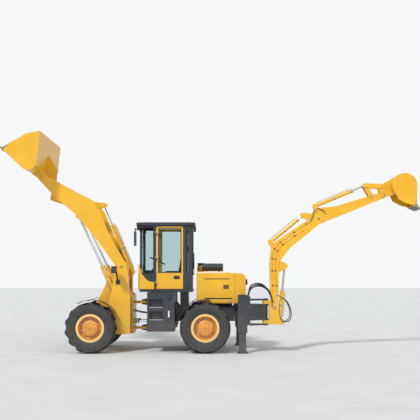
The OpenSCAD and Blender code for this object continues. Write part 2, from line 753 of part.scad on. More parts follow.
bucket_pin_d = 54;
low_pin_d = 44;
module arm_outline() {
    translate(arm_pivot) rotate(arm_rise) polygon(concat(
        arc([0, 0], arm_boss, 255, 105, 12),
        [[740, 270], [1230, 445]], arc([1480, 370], 110, 100, 60, 4),
        [[1880, 330], [arm_len - 60, 95]],
        arc([arm_len, 0], bucket_boss, 75, -105, 12),
        [[2080, -75], [1500, 10], [740, -20]]));
}
module loader_arms() {
    color(yellow) {
        for (s = [-1, 1]) {
            difference() {
                plate(s * arm_y, arm_t) arm_outline();
                round_y(arm_pivot, s * arm_y, arm_pin_d + 2 * fit, arm_t + cut);
                round_y(bucket_pin, s * arm_y, bucket_pin_d + 2 * fit, arm_t + cut);
            }
            lift_pad0 = lift_y + lift_eye_w / 2 + side_gap;
            lift_pad1 = arm_y - arm_t / 2 + cut;
            round_y(lift_eye, s * (lift_pad0 + lift_pad1) / 2, 120, lift_pad1 - lift_pad0);
        }
        round_y(cross_tube, 0, 130, 2 * arm_y);
        for (t = [-1, 1])
            plate(t * (ear_in + ear_t / 2), ear_t) polygon(strap(rocker_pin, cross_tube, 80, 75));
        round_y(rocker_pin, 0, bucket_pin_d, 2 * (ear_in + ear_t) + 20);
    }
}
module loader_rocker() {
    color(yellow) {
        difference() {
            union() {
                for (t = [-1, 1])
                    plate(t * rocker_y, rocker_t) {
                        polygon(strap(rocker_pin, rocker_tip, 95, 55));
                        polygon(strap(rocker_pin, rocker_low, 95, 55));
                    }
                round_y(rocker_pin, 0, 140, 2 * rocker_y);
            }
            round_y(rocker_pin, 0, bucket_pin_d + 2 * fit, 4 * rocker_y);
        }
        round_y(rocker_low, 0, low_pin_d, 2 * rocker_y + rocker_t + 16);
    }
}
link_end = arm_pt([arm_len - 7, 270]);
module loader_link() {
    color(yellow) difference() {
        plate(0, link_w) polygon(strap(rocker_low, link_end, 48, 48));
        round_y(rocker_low, 0, low_pin_d + 2 * fit, link_w + cut);
    }
}

// Loader bucket, in a frame with its origin at the bucket's pins and +X along its floor

function bucket_pt(p) = bucket_pin + turn(p, bucket_rise);
edge = [870, -105];
heel = [270, 75];
heel_r = 180;
back_slope = 54;
back_top = heel + heel_r * u(back_slope + 90) + 660 * u(back_slope);
ear_y = arm_t / 2 + side_gap + ear_t / 2;

function bucket_wall(t) = concat(
    [edge + [-t, t]], arc(heel, heel_r - t, 270, back_slope + 90, 14),
    [back_top + t * u(back_slope - 90)]);
module bucket_frame(y, t) {
    plate(y, t) translate(bucket_pin) rotate(bucket_rise) children();
}
module loader_bucket() {
    color(yellow) {
        bucket_frame(0, bucket_w) polygon(concat(
            [edge], arc(heel, heel_r, 270, back_slope + 90, 14), [back_top],
            [for (i = [len(bucket_wall(bucket_t)) - 1 : -1 : 0]) bucket_wall(bucket_t)[i]]));
        for (s = [-1, 1])
            bucket_frame(s * (bucket_w / 2 - bucket_t / 2), bucket_t) polygon(concat(
                [edge], arc(heel, heel_r, 270, back_slope + 90, 14), [back_top], [[690, 480]]));
        for (s = [-1, 1], t = [-1, 1])
            bucket_frame(s * arm_y + t * ear_y, ear_t) polygon(concat(
                arc([0, 0], 75, 250, 110, 10), [heel + heel_r * u(150)], [heel], [heel + heel_r * u(250)]));
        for (t = [-1, 1])
            bucket_frame(t * (link_w / 2 + side_gap + ear_t / 2), ear_t) polygon(concat(
                arc(turn(link_end - bucket_pin, -bucket_rise), 60, 240, 80, 8),
                [heel + heel_r * u(144) + 300 * u(back_slope)], [heel + heel_r * u(170)]));
        for (s = [-1, 1])
            round_y(bucket_pin, s * arm_y, bucket_pin_d, 2 * (ear_y + ear_t / 2) + 24);
        for (i = [0 : bucket_teeth - 1])
            bucket_frame((i - (bucket_teeth - 1) / 2) * (bucket_w - 200) / (bucket_teeth - 1), 70)
                polygon([edge + [-110, 24], edge + [0, 30], edge + [110, 4], edge + [110, -4],
                    edge + [-60, -22], edge + [-110, 0]]);
    }
}

// Loader rams

lift_d = 90;
lift_rod_d = 50;
lift_len = norm(lift_eye - lift_base);
lift_barrel_len = 1215;
lift_bore = 90;
lift_in = 110;
tilt_d = 100;
tilt_rod_d = 55;
tilt_len = norm(rocker_tip - tilt_base);
tilt_barrel_len = 1130;
tilt_bore = 590;
tilt_in = 190;

module lift_barrels() {
    color(yellow) for (s = [-1, 1])
        ram_barrel(lift_base, lift_eye, s * lift_y, 110, lift_eye_w, lift_d, lift_barrel_len,
            lift_rod_d, lift_bore);
}
module lift_rods() {
    color(steel) for (s = [-1, 1])
        ram_rod(lift_base, lift_eye, s * lift_y, 100, lift_eye_w, lift_rod_d, lift_barrel_len - lift_in);
}
module tilt_barrel() {
    color(yellow) ram_barrel(tilt_base, rocker_tip, 0, 110, tilt_eye_w, tilt_d, tilt_barrel_len,
        tilt_rod_d, tilt_bore);
}
module tilt_rod() {
    color(steel) ram_rod(tilt_base, rocker_tip, 0, 100, link_w, tilt_rod_d, tilt_barrel_len - tilt_in);
}

// Side-shift carriage on the beam, and the swing post that carries the boom

swing_x = beam_back - 390;
swing_low = 660;
swing_high = 1080;
carriage_low = 600;
carriage_high = 1200;
post_lug_h = 70;

hook_depth = 22;
module side_shift_carriage() {
    color(black) {
        block([beam_back - 60, hoe_y - 230, carriage_low],
            [beam_back - side_gap, hoe_y + 230, carriage_high]);
        for (z = [rail_top_z + side_gap, rail_bottom_z - side_gap - 30])
            block([beam_back - side_gap - cut, hoe_y - 85, z], [beam_back + hook_depth, hoe_y + 85, z + 30]);
        for (z = [swing_low, swing_high], t = [-1, 1])
            translate([0, 0, z + t * (post_lug_h / 2 + side_gap + 18)]) linear_extrude(36, center = true)
                polygon(concat([[swing_x + 110, hoe_y - 66], [beam_back - 60 + cut, hoe_y - 200],
                    [beam_back - 60 + cut, hoe_y + 200], [swing_x + 110, hoe_y + 66]],
                    arc([swing_x, hoe_y], 66, 90, 270, 14)));
        for (z = [swing_low, swing_high])
            translate([swing_x, hoe_y, z]) cylinder(d = 60, h = post_lug_h + 90, center = true);
    }
}

boom_foot = [swing_x - 190, 960];
boom_ram_base = [swing_x - 310, 705];
post_in = boom_w / 2 + side_gap;
post_t = 28;
boom_ram_eye_w = 70;
boom_rod_eye_w = 112;

post_web_x = swing_x - 78;
foot_pin_d = 60;
module swing_post() {
    color(yellow) {
        for (t = [-1, 1])
            plate(hoe_y + t * (post_in + post_t / 2), post_t) polygon(concat(
                arc(boom_foot, 95, 110, 50, 5), [[post_web_x - 32, 1100], [post_web_x, 1115],
                    [post_web_x, 612], [swing_x - 400, 610]], arc(boom_ram_base, 60, 200, 90, 6)));
        plate(hoe_y, 2 * post_in + cut) polygon([
            [post_web_x, 612], [post_web_x, 1115], [post_web_x - 6, 1115], [post_web_x - 10, 1060],
            [post_web_x - 14, 1000], [post_web_x - 18, 900], [post_web_x - 18, 612]]);
        plate(hoe_y, 2 * post_in + cut) polygon([
            [post_web_x - 18 + cut, 612], [post_web_x - 18 + cut, 640], [swing_x - 220, 632],
            [swing_x - 220, 612]]);
        for (t = [-1, 1])
            round_y(boom_ram_base, hoe_y + t * (boom_ram_eye_w / 2 + side_gap + post_in) / 2, 110,
                post_in - boom_ram_eye_w / 2 - side_gap);
        round_y(boom_foot, hoe_y, foot_pin_d, 2 * (post_in + post_t) + 24);
        for (z = [swing_low, swing_high])
            translate([0, 0, z]) difference() {
                linear_extrude(post_lug_h, center = true) polygon(concat(
                    [[post_web_x - 4, hoe_y + 110], [post_web_x - 4, hoe_y - 110]],
                    arc([swing_x, hoe_y], 60, -80, 80, 12)));
                translate([swing_x, hoe_y, 0])
                    cylinder(d = 60 + 2 * fit, h = post_lug_h + cut, center = true);
            }
    }
}

// Boom, stick and their rams

boom_reach = 3735;
stick_pin_z = 2860;
elbow = [pivot_x - 2795, 2200];
stick_pin = [pivot_x - boom_reach, stick_pin_z];
boom_dir = heading(elbow - stick_pin);
boom_ram_eye = [swing_x - 415, 1850];
stick_ram_base = stick_pin + 1130 * u(-26);
stick_dir = 180 - stick_rise;
stick_tail = stick_pin + 340 * u(12);
fork_len = 330;
fork_plate = 22;
stick_ram_eye_w = 60;

module boom_outline() {
    polygon(concat(
        arc(boom_foot, 78, 180, 360, 14),
        [[swing_x - 84, 1900], [swing_x - 118, 2200], [swing_x - 200, 2355]],
        arc(stick_pin, 105, 52, 233, 12),
        [[swing_x - 520, 2230], [swing_x - 290, 1930]]));
}
stick_pin_d = 56;
module boom() {
    color(yellow) {
        round_y(stick_pin, hoe_y, stick_pin_d, boom_w + 30);
        difference() {
            plate(hoe_y, boom_w) boom_outline();
            round_y(boom_foot, hoe_y, foot_pin_d + 2 * fit, boom_w + cut);
            plate(hoe_y, stick_w + 2 * side_gap) translate(stick_pin) rotate(boom_dir)
                translate([-fork_len, -300]) square([2 * fork_len, 600]);
        }
        for (t = [-1, 1])
            plate(hoe_y + t * (boom_rod_eye_w / 2 + side_gap + ear_t / 2), ear_t) polygon(concat(
                arc(boom_ram_eye, 60, 100, 260, 10), [[swing_x - 270, 1700], [swing_x - 270, 1980]]));
        for (t = [-1, 1])
            plate(hoe_y + t * (stick_ram_eye_w / 2 + side_gap + ear_t / 2), ear_t) polygon(concat(
                arc(stick_ram_base, 55, -20, 200, 14), [[swing_x - 210, 2330], [swing_x - 130, 2230]]));
    }
}
boom_barrel_len = 620;
boom_rod_d = 50;
boom_in = 100;
module boom_barrel() {
    color(yellow) ram_barrel(boom_ram_base, boom_ram_eye, hoe_y, 100, boom_ram_eye_w, 90, boom_barrel_len,
        boom_rod_d, 60);
}
module boom_rod() {
    color(steel) ram_rod(boom_ram_base, boom_ram_eye, hoe_y, 88, boom_rod_eye_w, boom_rod_d,
        boom_barrel_len - boom_in);
}

function stick_pt(p) = stick_pin + turn(p, stick_dir);
dig_pin = stick_pt([stick_len, 0]);
dig_rocker_pin = stick_pt([stick_len - 267, -69]);
dig_tip = dig_rocker_pin + 260 * u(stick_dir - 101.3);
dig_ear = dig_pin + 197 * u(stick_dir - 95);
dig_ram_base = stick_pt([30, -275]);
dig_ram_eye_w = 60;
dig_pin_d = 44;
rocker_pin_d = 40;
link_pin_d = 36;

module stick() {
    color(yellow) difference() {
        union() {
            plate(hoe_y, stick_w) translate(stick_pin) rotate(stick_dir) polygon(concat(
                arc([0, 0], 120, 100, 235, 10),
                [[-10, -185], [160, -190], [420, -120]],
                arc([stick_len, 0], 70, -70, 80, 8), [[500, 105]]));
            for (t = [-1, 1]) {
                plate(hoe_y + t * (stick_ram_eye_w / 2 + side_gap + ear_t / 2), ear_t)
                    polygon(strap(stick_tail, stick_pin, 55, 90));
                plate(hoe_y + t * (dig_ram_eye_w / 2 + side_gap + ear_t / 2), ear_t)
                    polygon(strap(dig_ram_base, stick_pt([30, -120]), 50, 72));
            }
        }
        round_y(stick_pin, hoe_y, stick_pin_d + 2 * fit, stick_w + cut);
        round_y(dig_pin, hoe_y, dig_pin_d + 2 * fit, stick_w + cut);
        round_y(dig_rocker_pin, hoe_y, rocker_pin_d + 2 * fit, stick_w + cut);
    }
}
stick_barrel_len = 760;
stick_in = 675;
stick_rod_d = 45;
module stick_barrel() {
    color(yellow) ram_barrel(stick_ram_base, stick_tail, hoe_y, 96, stick_ram_eye_w, 85, stick_barrel_len,
        stick_rod_d, 60);
}
module stick_rod() {
    color(steel) ram_rod(stick_ram_base, stick_tail, hoe_y, 90, stick_ram_eye_w, stick_rod_d,
        stick_barrel_len - stick_in);
}

// Digging bucket, in a frame with its origin at its pin and +X towards its teeth

dig_dir = stick_dir + 42;
dig_edge = [690, 0];
dig_back = [300, -310];
dig_back_r = 260;
dig_tangent = heading(dig_edge - dig_back) - acos(dig_back_r / norm(dig_edge - dig_back));
dig_t = 16;
rocker_out = stick_w / 2 + side_gap;
dig_rocker_t = 18;
dig_link_w = 60;

module dig_frame(y, t) {
    plate(y, t) translate(dig_pin) rotate(dig_dir) children();
}
function dig_wall(r) = concat(arc(dig_back, r, 115, 360 + dig_tangent, 20),
    [dig_edge + (r - dig_back_r) * u(dig_tangent)]);
module digging_bucket() {
    color(yellow) {
        dig_frame(hoe_y, dig_w) polygon(concat(
            dig_wall(dig_back_r),
            [for (i = [len(dig_wall(0)) - 1 : -1 : 0]) dig_wall(dig_back_r - dig_t)[i]]));
        for (s = [-1, 1])
            dig_frame(hoe_y + s * (dig_w / 2 - dig_t / 2), dig_t) polygon(concat(
                dig_wall(dig_back_r), [[480, 30], [280, 10]]));
        for (t = [-1, 1])
            dig_frame(hoe_y + t * (rocker_out + dig_rocker_t / 2), dig_rocker_t) polygon(concat(
                arc([0, 0], 66, 60, 160, 8),
                arc(turn(dig_ear - dig_pin, -dig_dir), 50, 140, 290, 10),
                [dig_back + dig_back_r * u(205), dig_back + (dig_back_r - 8) * u(160),
                    dig_back + (dig_back_r - 8) * u(118)]));
        round_y(dig_pin, hoe_y, dig_pin_d, 2 * (rocker_out + dig_rocker_t) + 16);
        for (i = [0 : dig_teeth - 1])
            dig_frame(hoe_y + (i - (dig_teeth - 1) / 2) * (dig_w - 60) / (dig_teeth - 1), 50)
                polygon([dig_edge + [-60, 26], dig_edge + [120, 30], dig_edge + [120, 22],
                    dig_edge + [0, -26], dig_edge + [-60, -24]]);
    }
}
module digging_rocker() {
    color(yellow) {
        for (t = [-1, 1])
            difference() {
                plate(hoe_y + t * (rocker_out + dig_rocker_t / 2), dig_rocker_t)
                    polygon(strap(dig_rocker_pin, dig_tip, 48, 44));
                round_y(dig_tip, hoe_y + t * (rocker_out + dig_rocker_t / 2), link_pin_d + 2 * fit,
                    2 * dig_rocker_t);
            }
        round_y(dig_rocker_pin, hoe_y, rocker_pin_d, 2 * (rocker_out + dig_rocker_t) + 16);
    }
}
module digging_link() {
    color(yellow) {
        for (t = [-1, 1]) {
            plate(hoe_y + t * (rocker_out + dig_rocker_t + side_gap + dig_rocker_t / 2), dig_rocker_t)
                polygon(strap(dig_tip, dig_ear, 44, 44));
            round_y(dig_tip, hoe_y + t * (rocker_out + dig_rocker_t + 2), link_pin_d, 2 * dig_rocker_t);
        }
    }
}
dig_barrel_len = 860;
dig_in = 365;
dig_rod_d = 42;
module digging_barrel() {
    color(yellow) ram_barrel(dig_ram_base, dig_tip, hoe_y, 90, dig_ram_eye_w, 80, dig_barrel_len,
        dig_rod_d, 390);
}
module digging_rod() {
    color(steel) ram_rod(dig_ram_base, dig_tip, hoe_y, 80, 120, dig_rod_d, dig_barrel_len - dig_in);
}

rear_frame();
pivot_forks();
stabilizer_beam();
rear_axle();
engine();
hood();
air_intake();
cab_shell();
cab_roof();
cab_floor();
cab_cowl();
cab_glass();
cab_interior();
cab_mirrors();
work_lamps();
tanks_and_steps();
rear_fenders();
door(1);  // door_left
door(-1);  // door_right
door_glass(1);  // door_glass_left
door_glass(-1);  // door_glass_right
front_frame();
arm_towers();
front_axle();
front_fenders();
tyre(front_x, 1);  // tyre_front_left
tyre(front_x, -1);  // tyre_front_right
tyre(rear_x, 1);  // tyre_rear_left
tyre(rear_x, -1);  // tyre_rear_right
rim(front_x, 1);  // rim_front_left
rim(front_x, -1);  // rim_front_right
rim(rear_x, 1);  // rim_rear_left
rim(rear_x, -1);  // rim_rear_right
steering_barrel(1);  // steering_barrel_left
steering_barrel(-1);  // steering_barrel_right
steering_rod(1);  // steering_rod_left
steering_rod(-1);  // steering_rod_right
loader_arms();
loader_rocker();
loader_link();
loader_bucket();
lift_barrels();
lift_rods();
tilt_barrel();
tilt_rod();
stabilizer_leg(1);  // stabilizer_leg_left
stabilizer_leg(-1);  // stabilizer_leg_right
side_shift_carriage();
swing_post();
boom();
boom_barrel();
boom_rod();
stick();
stick_barrel();
stick_rod();
digging_bucket();
digging_rocker();
digging_link();
digging_barrel();
digging_rod();
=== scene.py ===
import json
import math
from contextlib import contextmanager

import bmesh
import bpy
from mathutils import Matrix, Vector


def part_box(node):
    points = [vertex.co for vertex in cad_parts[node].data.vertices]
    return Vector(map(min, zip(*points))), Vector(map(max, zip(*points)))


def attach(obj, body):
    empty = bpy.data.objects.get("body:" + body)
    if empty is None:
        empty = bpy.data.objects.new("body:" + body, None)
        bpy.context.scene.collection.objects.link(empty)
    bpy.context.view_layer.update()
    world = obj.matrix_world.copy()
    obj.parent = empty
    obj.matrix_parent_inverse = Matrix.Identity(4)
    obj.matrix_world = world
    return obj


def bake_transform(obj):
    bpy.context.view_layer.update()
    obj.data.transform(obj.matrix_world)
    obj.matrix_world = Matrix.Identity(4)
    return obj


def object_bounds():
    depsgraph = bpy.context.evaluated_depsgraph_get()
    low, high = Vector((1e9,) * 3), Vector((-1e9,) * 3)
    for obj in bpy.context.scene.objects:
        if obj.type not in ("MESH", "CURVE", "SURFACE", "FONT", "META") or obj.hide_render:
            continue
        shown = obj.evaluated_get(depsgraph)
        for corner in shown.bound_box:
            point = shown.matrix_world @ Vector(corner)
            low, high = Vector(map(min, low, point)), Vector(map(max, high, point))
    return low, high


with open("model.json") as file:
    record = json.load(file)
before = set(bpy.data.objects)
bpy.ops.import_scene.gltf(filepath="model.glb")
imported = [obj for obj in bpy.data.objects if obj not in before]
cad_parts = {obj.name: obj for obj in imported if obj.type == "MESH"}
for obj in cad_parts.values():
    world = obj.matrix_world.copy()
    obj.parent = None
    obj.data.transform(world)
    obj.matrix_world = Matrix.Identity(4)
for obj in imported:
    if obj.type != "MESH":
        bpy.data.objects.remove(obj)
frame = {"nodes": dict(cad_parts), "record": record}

bl_info = {
    "name": "Backhoe loader finish",
    "version": (1, 0, 0),
    "blender": (4, 5, 0),
    "location": "View3D > Sidebar > Backhoe",
    "description": "Finishes and fittings of an articulated backhoe loader, around its packed frame",
    "category": "Object",
}

CAD_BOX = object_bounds()
SIDES = {"left": 1, "right": -1}
REAR, FRONT = "rear_frame", "front_frame"
MM = 0.001
# A metre over a pattern's size, both in millimetres, is that pattern's scale
METRE = 1000
UP = Vector((0, 0, 1))
# Directions at rest: the loader arm's line, the floor of its bucket, and the digging bucket's floor
ARM_RISE = math.radians(48.26)
BUCKET_RISE = math.radians(43)
DIG_DIR = math.radians(202)
# The cab's windows: their sill, the top of the front and side panes, the top of the rear pane
SILL, PANE_TOP, REAR_PANE_TOP = 1.700, 2.665, 2.615
# Outer walls, measured from the centre plane: the cab's doors and the tanks
DOOR_WALL, TANK_WALL = 0.600, 0.860
NUT_CIRCLE, HUB_CIRCLE, VALVE_CIRCLE = 0.197, 0.112, 0.228
RIM_BAR = 0.009
LINE_DIAMETER = 0.014
SENSOR = 36.0
DUST = "#8d7f6c"


# Places read from the frame

def joint(name):
    return next(j for j in frame["record"]["behaviour"]["joints"] if j["name"] == name)


def joint_place(name):
    return Vector(joint(name)["pos_m"])


def low(node):
    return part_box(node)[0]


def high(node):
    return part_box(node)[1]


def slope(angle):
    """The direction in the x-z plane at angle over the x axis."""
    return Vector((math.cos(angle), 0, math.sin(angle)))


def square_to(way):
    """The direction in the x-z plane that stands on way."""
    return Vector((-way.z, 0, way.x))


HOE_Y = joint_place("boom_turn").y


# Colours and materials

def linear(colour):
    """Linear RGBA of an sRGB hex colour, or of the colour setting with that name."""
    colour = getattr(bpy.context.scene.backhoe_colours, colour, colour)
    parts = [int(colour[i:i + 2], 16) / 255 for i in (1, 3, 5)]
    return [c / 12.92 if c <= 0.04045 else ((c + 0.055) / 1.055) ** 2.4 for c in parts] + [1]


def feed(tree, socket, value):
    """Gives an input its value: a node's first output, a named output, a colour or a plain value."""
    if isinstance(value, bpy.types.Node):
        value = value.outputs[0]
    if isinstance(value, bpy.types.NodeSocket):
        tree.links.new(value, socket)
    else:
        socket.default_value = linear(value) if isinstance(value, str) else value


def add(tree, kind, inputs=None, stops=(), **values):
    """Adds a node. values are its properties or its inputs by name, inputs its inputs by index, and
    stops the places and colours of a ramp."""
    node = tree.nodes.new("ShaderNode" + kind)
    for key, value in values.items():
        if hasattr(node, key):
            setattr(node, key, value)
        else:
            feed(tree, node.inputs[key.replace("_", " ")], value)
    for index, value in (inputs or {}).items():
        feed(tree, node.inputs[index], value)
    for index, (place, colour) in enumerate(stops):
        node.color_ramp.elements[index].position = place
        node.color_ramp.elements[index].color = linear(colour)
    return node


def blank(name):
    """A new material without nodes. Returns it, its tree and the object's own space."""
    material = bpy.data.materials.new(name)
    material.use_nodes = True
    tree = material.node_tree
    tree.nodes.clear()
    return material, tree, add(tree, "TexCoord").outputs["Object"]


def surface(tree, height=None, depth_mm=0.0, strength=0.4, **inputs):
    """The shader and output of a material. height is a map that bumps the surface."""
    if height is not None:
        inputs["Normal"] = add(tree, "Bump", Height=height, Strength=strength, Distance=depth_mm * MM)
    shader = add(tree, "BsdfPrincipled", **inputs)
    add(tree, "OutputMaterial", Surface=shader)
    return shader


def dust(tree, space, top, patch_mm):
    """How much road dust lies on a surface: most near the ground, in patches, none above top metres."""
    height = add(tree, "SeparateXYZ", Vector=space).outputs["Z"]
    near = add(tree, "MapRange", Value=height, From_Max=top, To_Min=1.0, To_Max=0.0)
    patches = add(tree, "TexNoise", Vector=space, Scale=METRE / patch_mm, Detail=5.0)
    return add(tree, "Math", {0: near, 1: patches}, operation="MULTIPLY", use_clamp=True)


def enamel(tree, space, colour, shade, roughness=0.34, coat=0.35):
    """Sprayed two-pack enamel on welded plate: even colour, faint orange peel, dusty near the ground."""
    patches = add(tree, "TexNoise", Vector=space, Scale=METRE / 420, Detail=4.0)
    clean = add(tree, "ValToRGB", Fac=patches, stops=((0.35, shade), (0.65, colour)))
    dirty = dust(tree, space, 1.2, 160)
    film = add(tree, "Math", {0: dirty, 1: 0.5}, operation="MULTIPLY")
    sheen = add(tree, "TexNoise", Vector=space, Scale=METRE / 90)
    gloss = add(tree, "MapRange", Value=sheen, To_Min=roughness - 0.06, To_Max=roughness + 0.08)
    dull = add(tree, "Math", {0: dirty, 1: 0.35}, operation="MULTIPLY")
    # Orange peel is 2 to 3 mm across; it is drawn at 14 mm so that it shows
    peel = add(tree, "TexNoise", Vector=space, Scale=METRE / 14, Detail=1.0)
    surface(tree, peel, 0.4, 0.12, Coat_Weight=coat, Coat_Roughness=0.12,
            Base_Color=add(tree, "Mix", {0: film, 6: clean, 7: DUST}, data_type="RGBA").outputs[2],
            Roughness=add(tree, "Math", {0: gloss, 1: dull}, operation="ADD"))


def hard_chrome(tree, space):
    """Ground and polished hard chrome on a hydraulic rod: mirror with a faint film of oil."""
    oil = add(tree, "TexNoise", Vector=space, Scale=METRE / 60, Detail=3.0)
    surface(tree, Base_Color="#c8cbce", Metallic=1.0,
            Roughness=add(tree, "MapRange", Value=oil, To_Min=0.08, To_Max=0.24))


def zinc_steel(tree, space):
    """Zinc-plated bolts and pins: dull bright metal."""
    spangle = add(tree, "TexNoise", Vector=space, Scale=METRE / 8, Detail=3.0)
    surface(tree, Base_Color=add(tree, "ValToRGB", Fac=spangle, stops=((0.3, "#8d8f91"), (0.7, "#b3b4b3"))),
            Metallic=1.0, Roughness=0.42)


def worn_steel(tree, space):
    """Cutting edges and teeth: bare steel rubbed bright by soil, with brown between."""
    spots = add(tree, "TexNoise", Vector=space, Scale=METRE / 35, Detail=5.0)
    surface(tree, spots, 0.6, 0.25, Metallic=0.8, Roughness=0.5,
            Base_Color=add(tree, "ValToRGB", Fac=spots, stops=((0.35, "#5b5046"), (0.6, "#8a8782"))))


def tyre_rubber(tree, space):
    """Carbon-black rubber, matt, with pale dust in its texture."""
    patches = add(tree, "TexNoise", Vector=space, Scale=METRE / 130, Detail=5.0)
    clean = add(tree, "ValToRGB", Fac=patches, stops=((0.3, "#2b2c2f"), (0.7, "#3b3b3c")))
    film = add(tree, "Math", {0: dust(tree, space, 1.3, 80), 1: 0.35}, operation="MULTIPLY")
    grain = add(tree, "TexNoise", Vector=space, Scale=METRE / 7, Detail=3.0)
    surface(tree, grain, 0.7, 0.3, Roughness=0.78,
            Base_Color=add(tree, "Mix", {0: film, 6: clean, 7: "#6d675f"}, data_type="RGBA").outputs[2])


def hose_rubber(tree, space):
    """Wrapped cover of a hydraulic hose: black, with a faint cloth weave."""
    weave = add(tree, "TexNoise", Vector=space, Scale=METRE / 4, Detail=1.0)
    surface(tree, weave, 0.4, 0.3, Base_Color="#1b1c1f", Roughness=0.55)


def moulded_plastic(tree, space, colour, roughness=0.5):
    """Moulded plastic with a fine spark-eroded grain."""
    # The grain is 0.3 mm; it is drawn at 3 mm
    grain = add(tree, "TexNoise", Vector=space, Scale=METRE / 3, Detail=1.0)
    cloud = add(tree, "TexNoise", Vector=space, Scale=METRE / 60, Detail=3.0)
    film = add(tree, "Math", {0: cloud, 1: 0.25}, operation="MULTIPLY")
    surface(tree, grain, 0.2, 0.2, Roughness=roughness,
            Base_Color=add(tree, "Mix", {0: film, 6: colour, 7: "#55565a"}, data_type="RGBA").outputs[2])


def seat_vinyl(tree, space):
    """Coated fabric of the driver's seat: soft black with a leather grain."""
    cells = add(tree, "TexVoronoi", Vector=space, Scale=260.0)
    surface(tree, cells, 0.4, 0.3, Base_Color="#26272a", Roughness=0.6)


def float_glass(tree, space):
    """Clear float glass, faintly green-blue, that lets light into the cab."""
    pane = surface(tree, Base_Color="#d7e6e6", Roughness=0.02, Transmission_Weight=1.0, IOR=1.1)
    clear = add(tree, "BsdfTransparent", Color="#cfdede")
    shadow = add(tree, "LightPath").outputs["Is Shadow Ray"]
    both = add(tree, "MixShader", {0: shadow, 1: pane, 2: clear})
    out = next(n for n in tree.nodes if n.type == "OUTPUT_MATERIAL")
    feed(tree, out.inputs["Surface"], both)


def silvered(tree, space):
    """Mirror glass."""
    haze = add(tree, "TexNoise", Vector=space, Scale=METRE / 200, Detail=1.0)
    surface(tree, Base_Color=add(tree, "ValToRGB", Fac=haze, stops=((0.2, "#b9c2c6"), (0.8, "#c6cdd0"))),
            Metallic=1.0, Roughness=0.03)


def lamp_lens(tree, space, colour):
    """Moulded lens with upright ribs."""
    ribs = add(tree, "TexWave", Vector=space, Scale=60.0)
    surface(tree, ribs, 1.0, 0.4, Base_Color=colour, Roughness=0.15, Coat_Weight=0.8)


def wheel_enamel(tree, space, turn):
    """Wheel enamel: a deep yellow dish with a pale ring on its flange, which is a painted highlight, dusty
    near the ground.
    """
    hub = joint_place(turn)
    flat = add(tree, "Mapping", Vector=space, Location=(-hub.x, 0, -hub.z), Scale=(1, 0, 1))
    radius = add(tree, "VectorMath", {0: flat}, operation="LENGTH").outputs["Value"]
    # Painted highlight: past this radius the flange is painted pale cream, as where it catches the light
    edge = bpy.context.scene.backhoe_sizes.highlight_ring_radius
    ring = add(tree, "Math", {0: radius, 1: edge}, operation="GREATER_THAN")
    patches = add(tree, "TexNoise", Vector=space, Scale=METRE / 180, Detail=4.0)
    dish = add(tree, "ValToRGB", Fac=patches, stops=((0.35, "#dc8a1c"), (0.65, "#ee9f22")))
    clean = add(tree, "Mix", {0: ring, 6: dish, 7: "#f3cf86"}, data_type="RGBA").outputs[2]
    film = add(tree, "Math", {0: dust(tree, space, 1.1, 90), 1: 0.45}, operation="MULTIPLY")
    peel = add(tree, "TexNoise", Vector=space, Scale=METRE / 16, Detail=1.0)
    surface(tree, peel, 0.4, 0.12, Roughness=0.42, Coat_Weight=0.2,
            Base_Color=add(tree, "Mix", {0: film, 6: clean, 7: DUST}, data_type="RGBA").outputs[2])


def radiator_core(tree, space):
    """Aluminium fins between tubes, blackened: fins 2 mm apart, drawn at 8 mm so that they show."""
    fins = add(tree, "TexWave", Vector=space, bands_direction="Y", Scale=40.0)
    surface(tree, fins, 1.0, 0.5, Roughness=0.6, Metallic=0.4,
            Base_Color=add(tree, "ValToRGB", Fac=fins, stops=((0.3, "#151618"), (0.8, "#3c3f43"))))


def worn_enamel(tree, space, pin, angle, start):
    """Bucket enamel that soil has rubbed off towards the edge, from start metres ahead of its pin."""
    floor = slope(angle)
    edge = joint_place(pin).dot(floor) + start
    along = add(tree, "VectorMath", {0: space, 1: floor}, operation="DOT_PRODUCT").outputs["Value"]
    reach = add(tree, "Math", {0: along, 1: edge}, operation="SUBTRACT")
    teeth = add(tree, "TexNoise", Vector=space, Scale=METRE / 45, Detail=5.0)
    frayed = add(tree, "Math", {0: teeth, 1: 0.05}, operation="MULTIPLY")
    ragged = add(tree, "Math", {0: reach, 1: frayed}, operation="ADD")
    bare = add(tree, "MapRange", Value=ragged, From_Min=0.02, From_Max=0.05)
    patches = add(tree, "TexNoise", Vector=space, Scale=METRE / 380, Detail=4.0)
    paint = add(tree, "ValToRGB", Fac=patches, stops=((0.35, "body_shade"), (0.65, "body")))
    rust = add(tree, "TexNoise", Vector=space, Scale=METRE / 30, Detail=5.0)
    steel = add(tree, "ValToRGB", Fac=rust, stops=((0.35, "#6b5a48"), (0.62, "#8f8b84")))
    specks = add(tree, "TexNoise", Vector=space, Scale=METRE / 22, Detail=6.0)
    scuffed = add(tree, "MapRange", Value=specks, From_Min=0.70, From_Max=0.76, To_Max=0.5)
    worn = add(tree, "Mix", {0: scuffed, 6: paint, 7: "#b98a3a"}, data_type="RGBA").outputs[2]
    dull = add(tree, "Math", {0: bare, 1: 0.12}, operation="MULTIPLY")
    dents = add(tree, "TexNoise", Vector=space, Scale=METRE / 18, Detail=4.0)
    surface(tree, dents, 0.5, 0.15, Coat_Weight=0.15,
            Base_Color=add(tree, "Mix", {0: bare, 6: worn, 7: steel}, data_type="RGBA").outputs[2],
            Metallic=add(tree, "Math", {0: bare, 1: 0.8}, operation="MULTIPLY"),
            Roughness=add(tree, "Math", {0: dull, 1: 0.38}, operation="ADD"))



# Settings that a user would change

def metres(name, description, default):
    return bpy.props.FloatProperty(name=name, description=description, default=default, unit="LENGTH")


def hex_colour(name, description, default):
    return bpy.props.StringProperty(name=name, description=description, default=default)


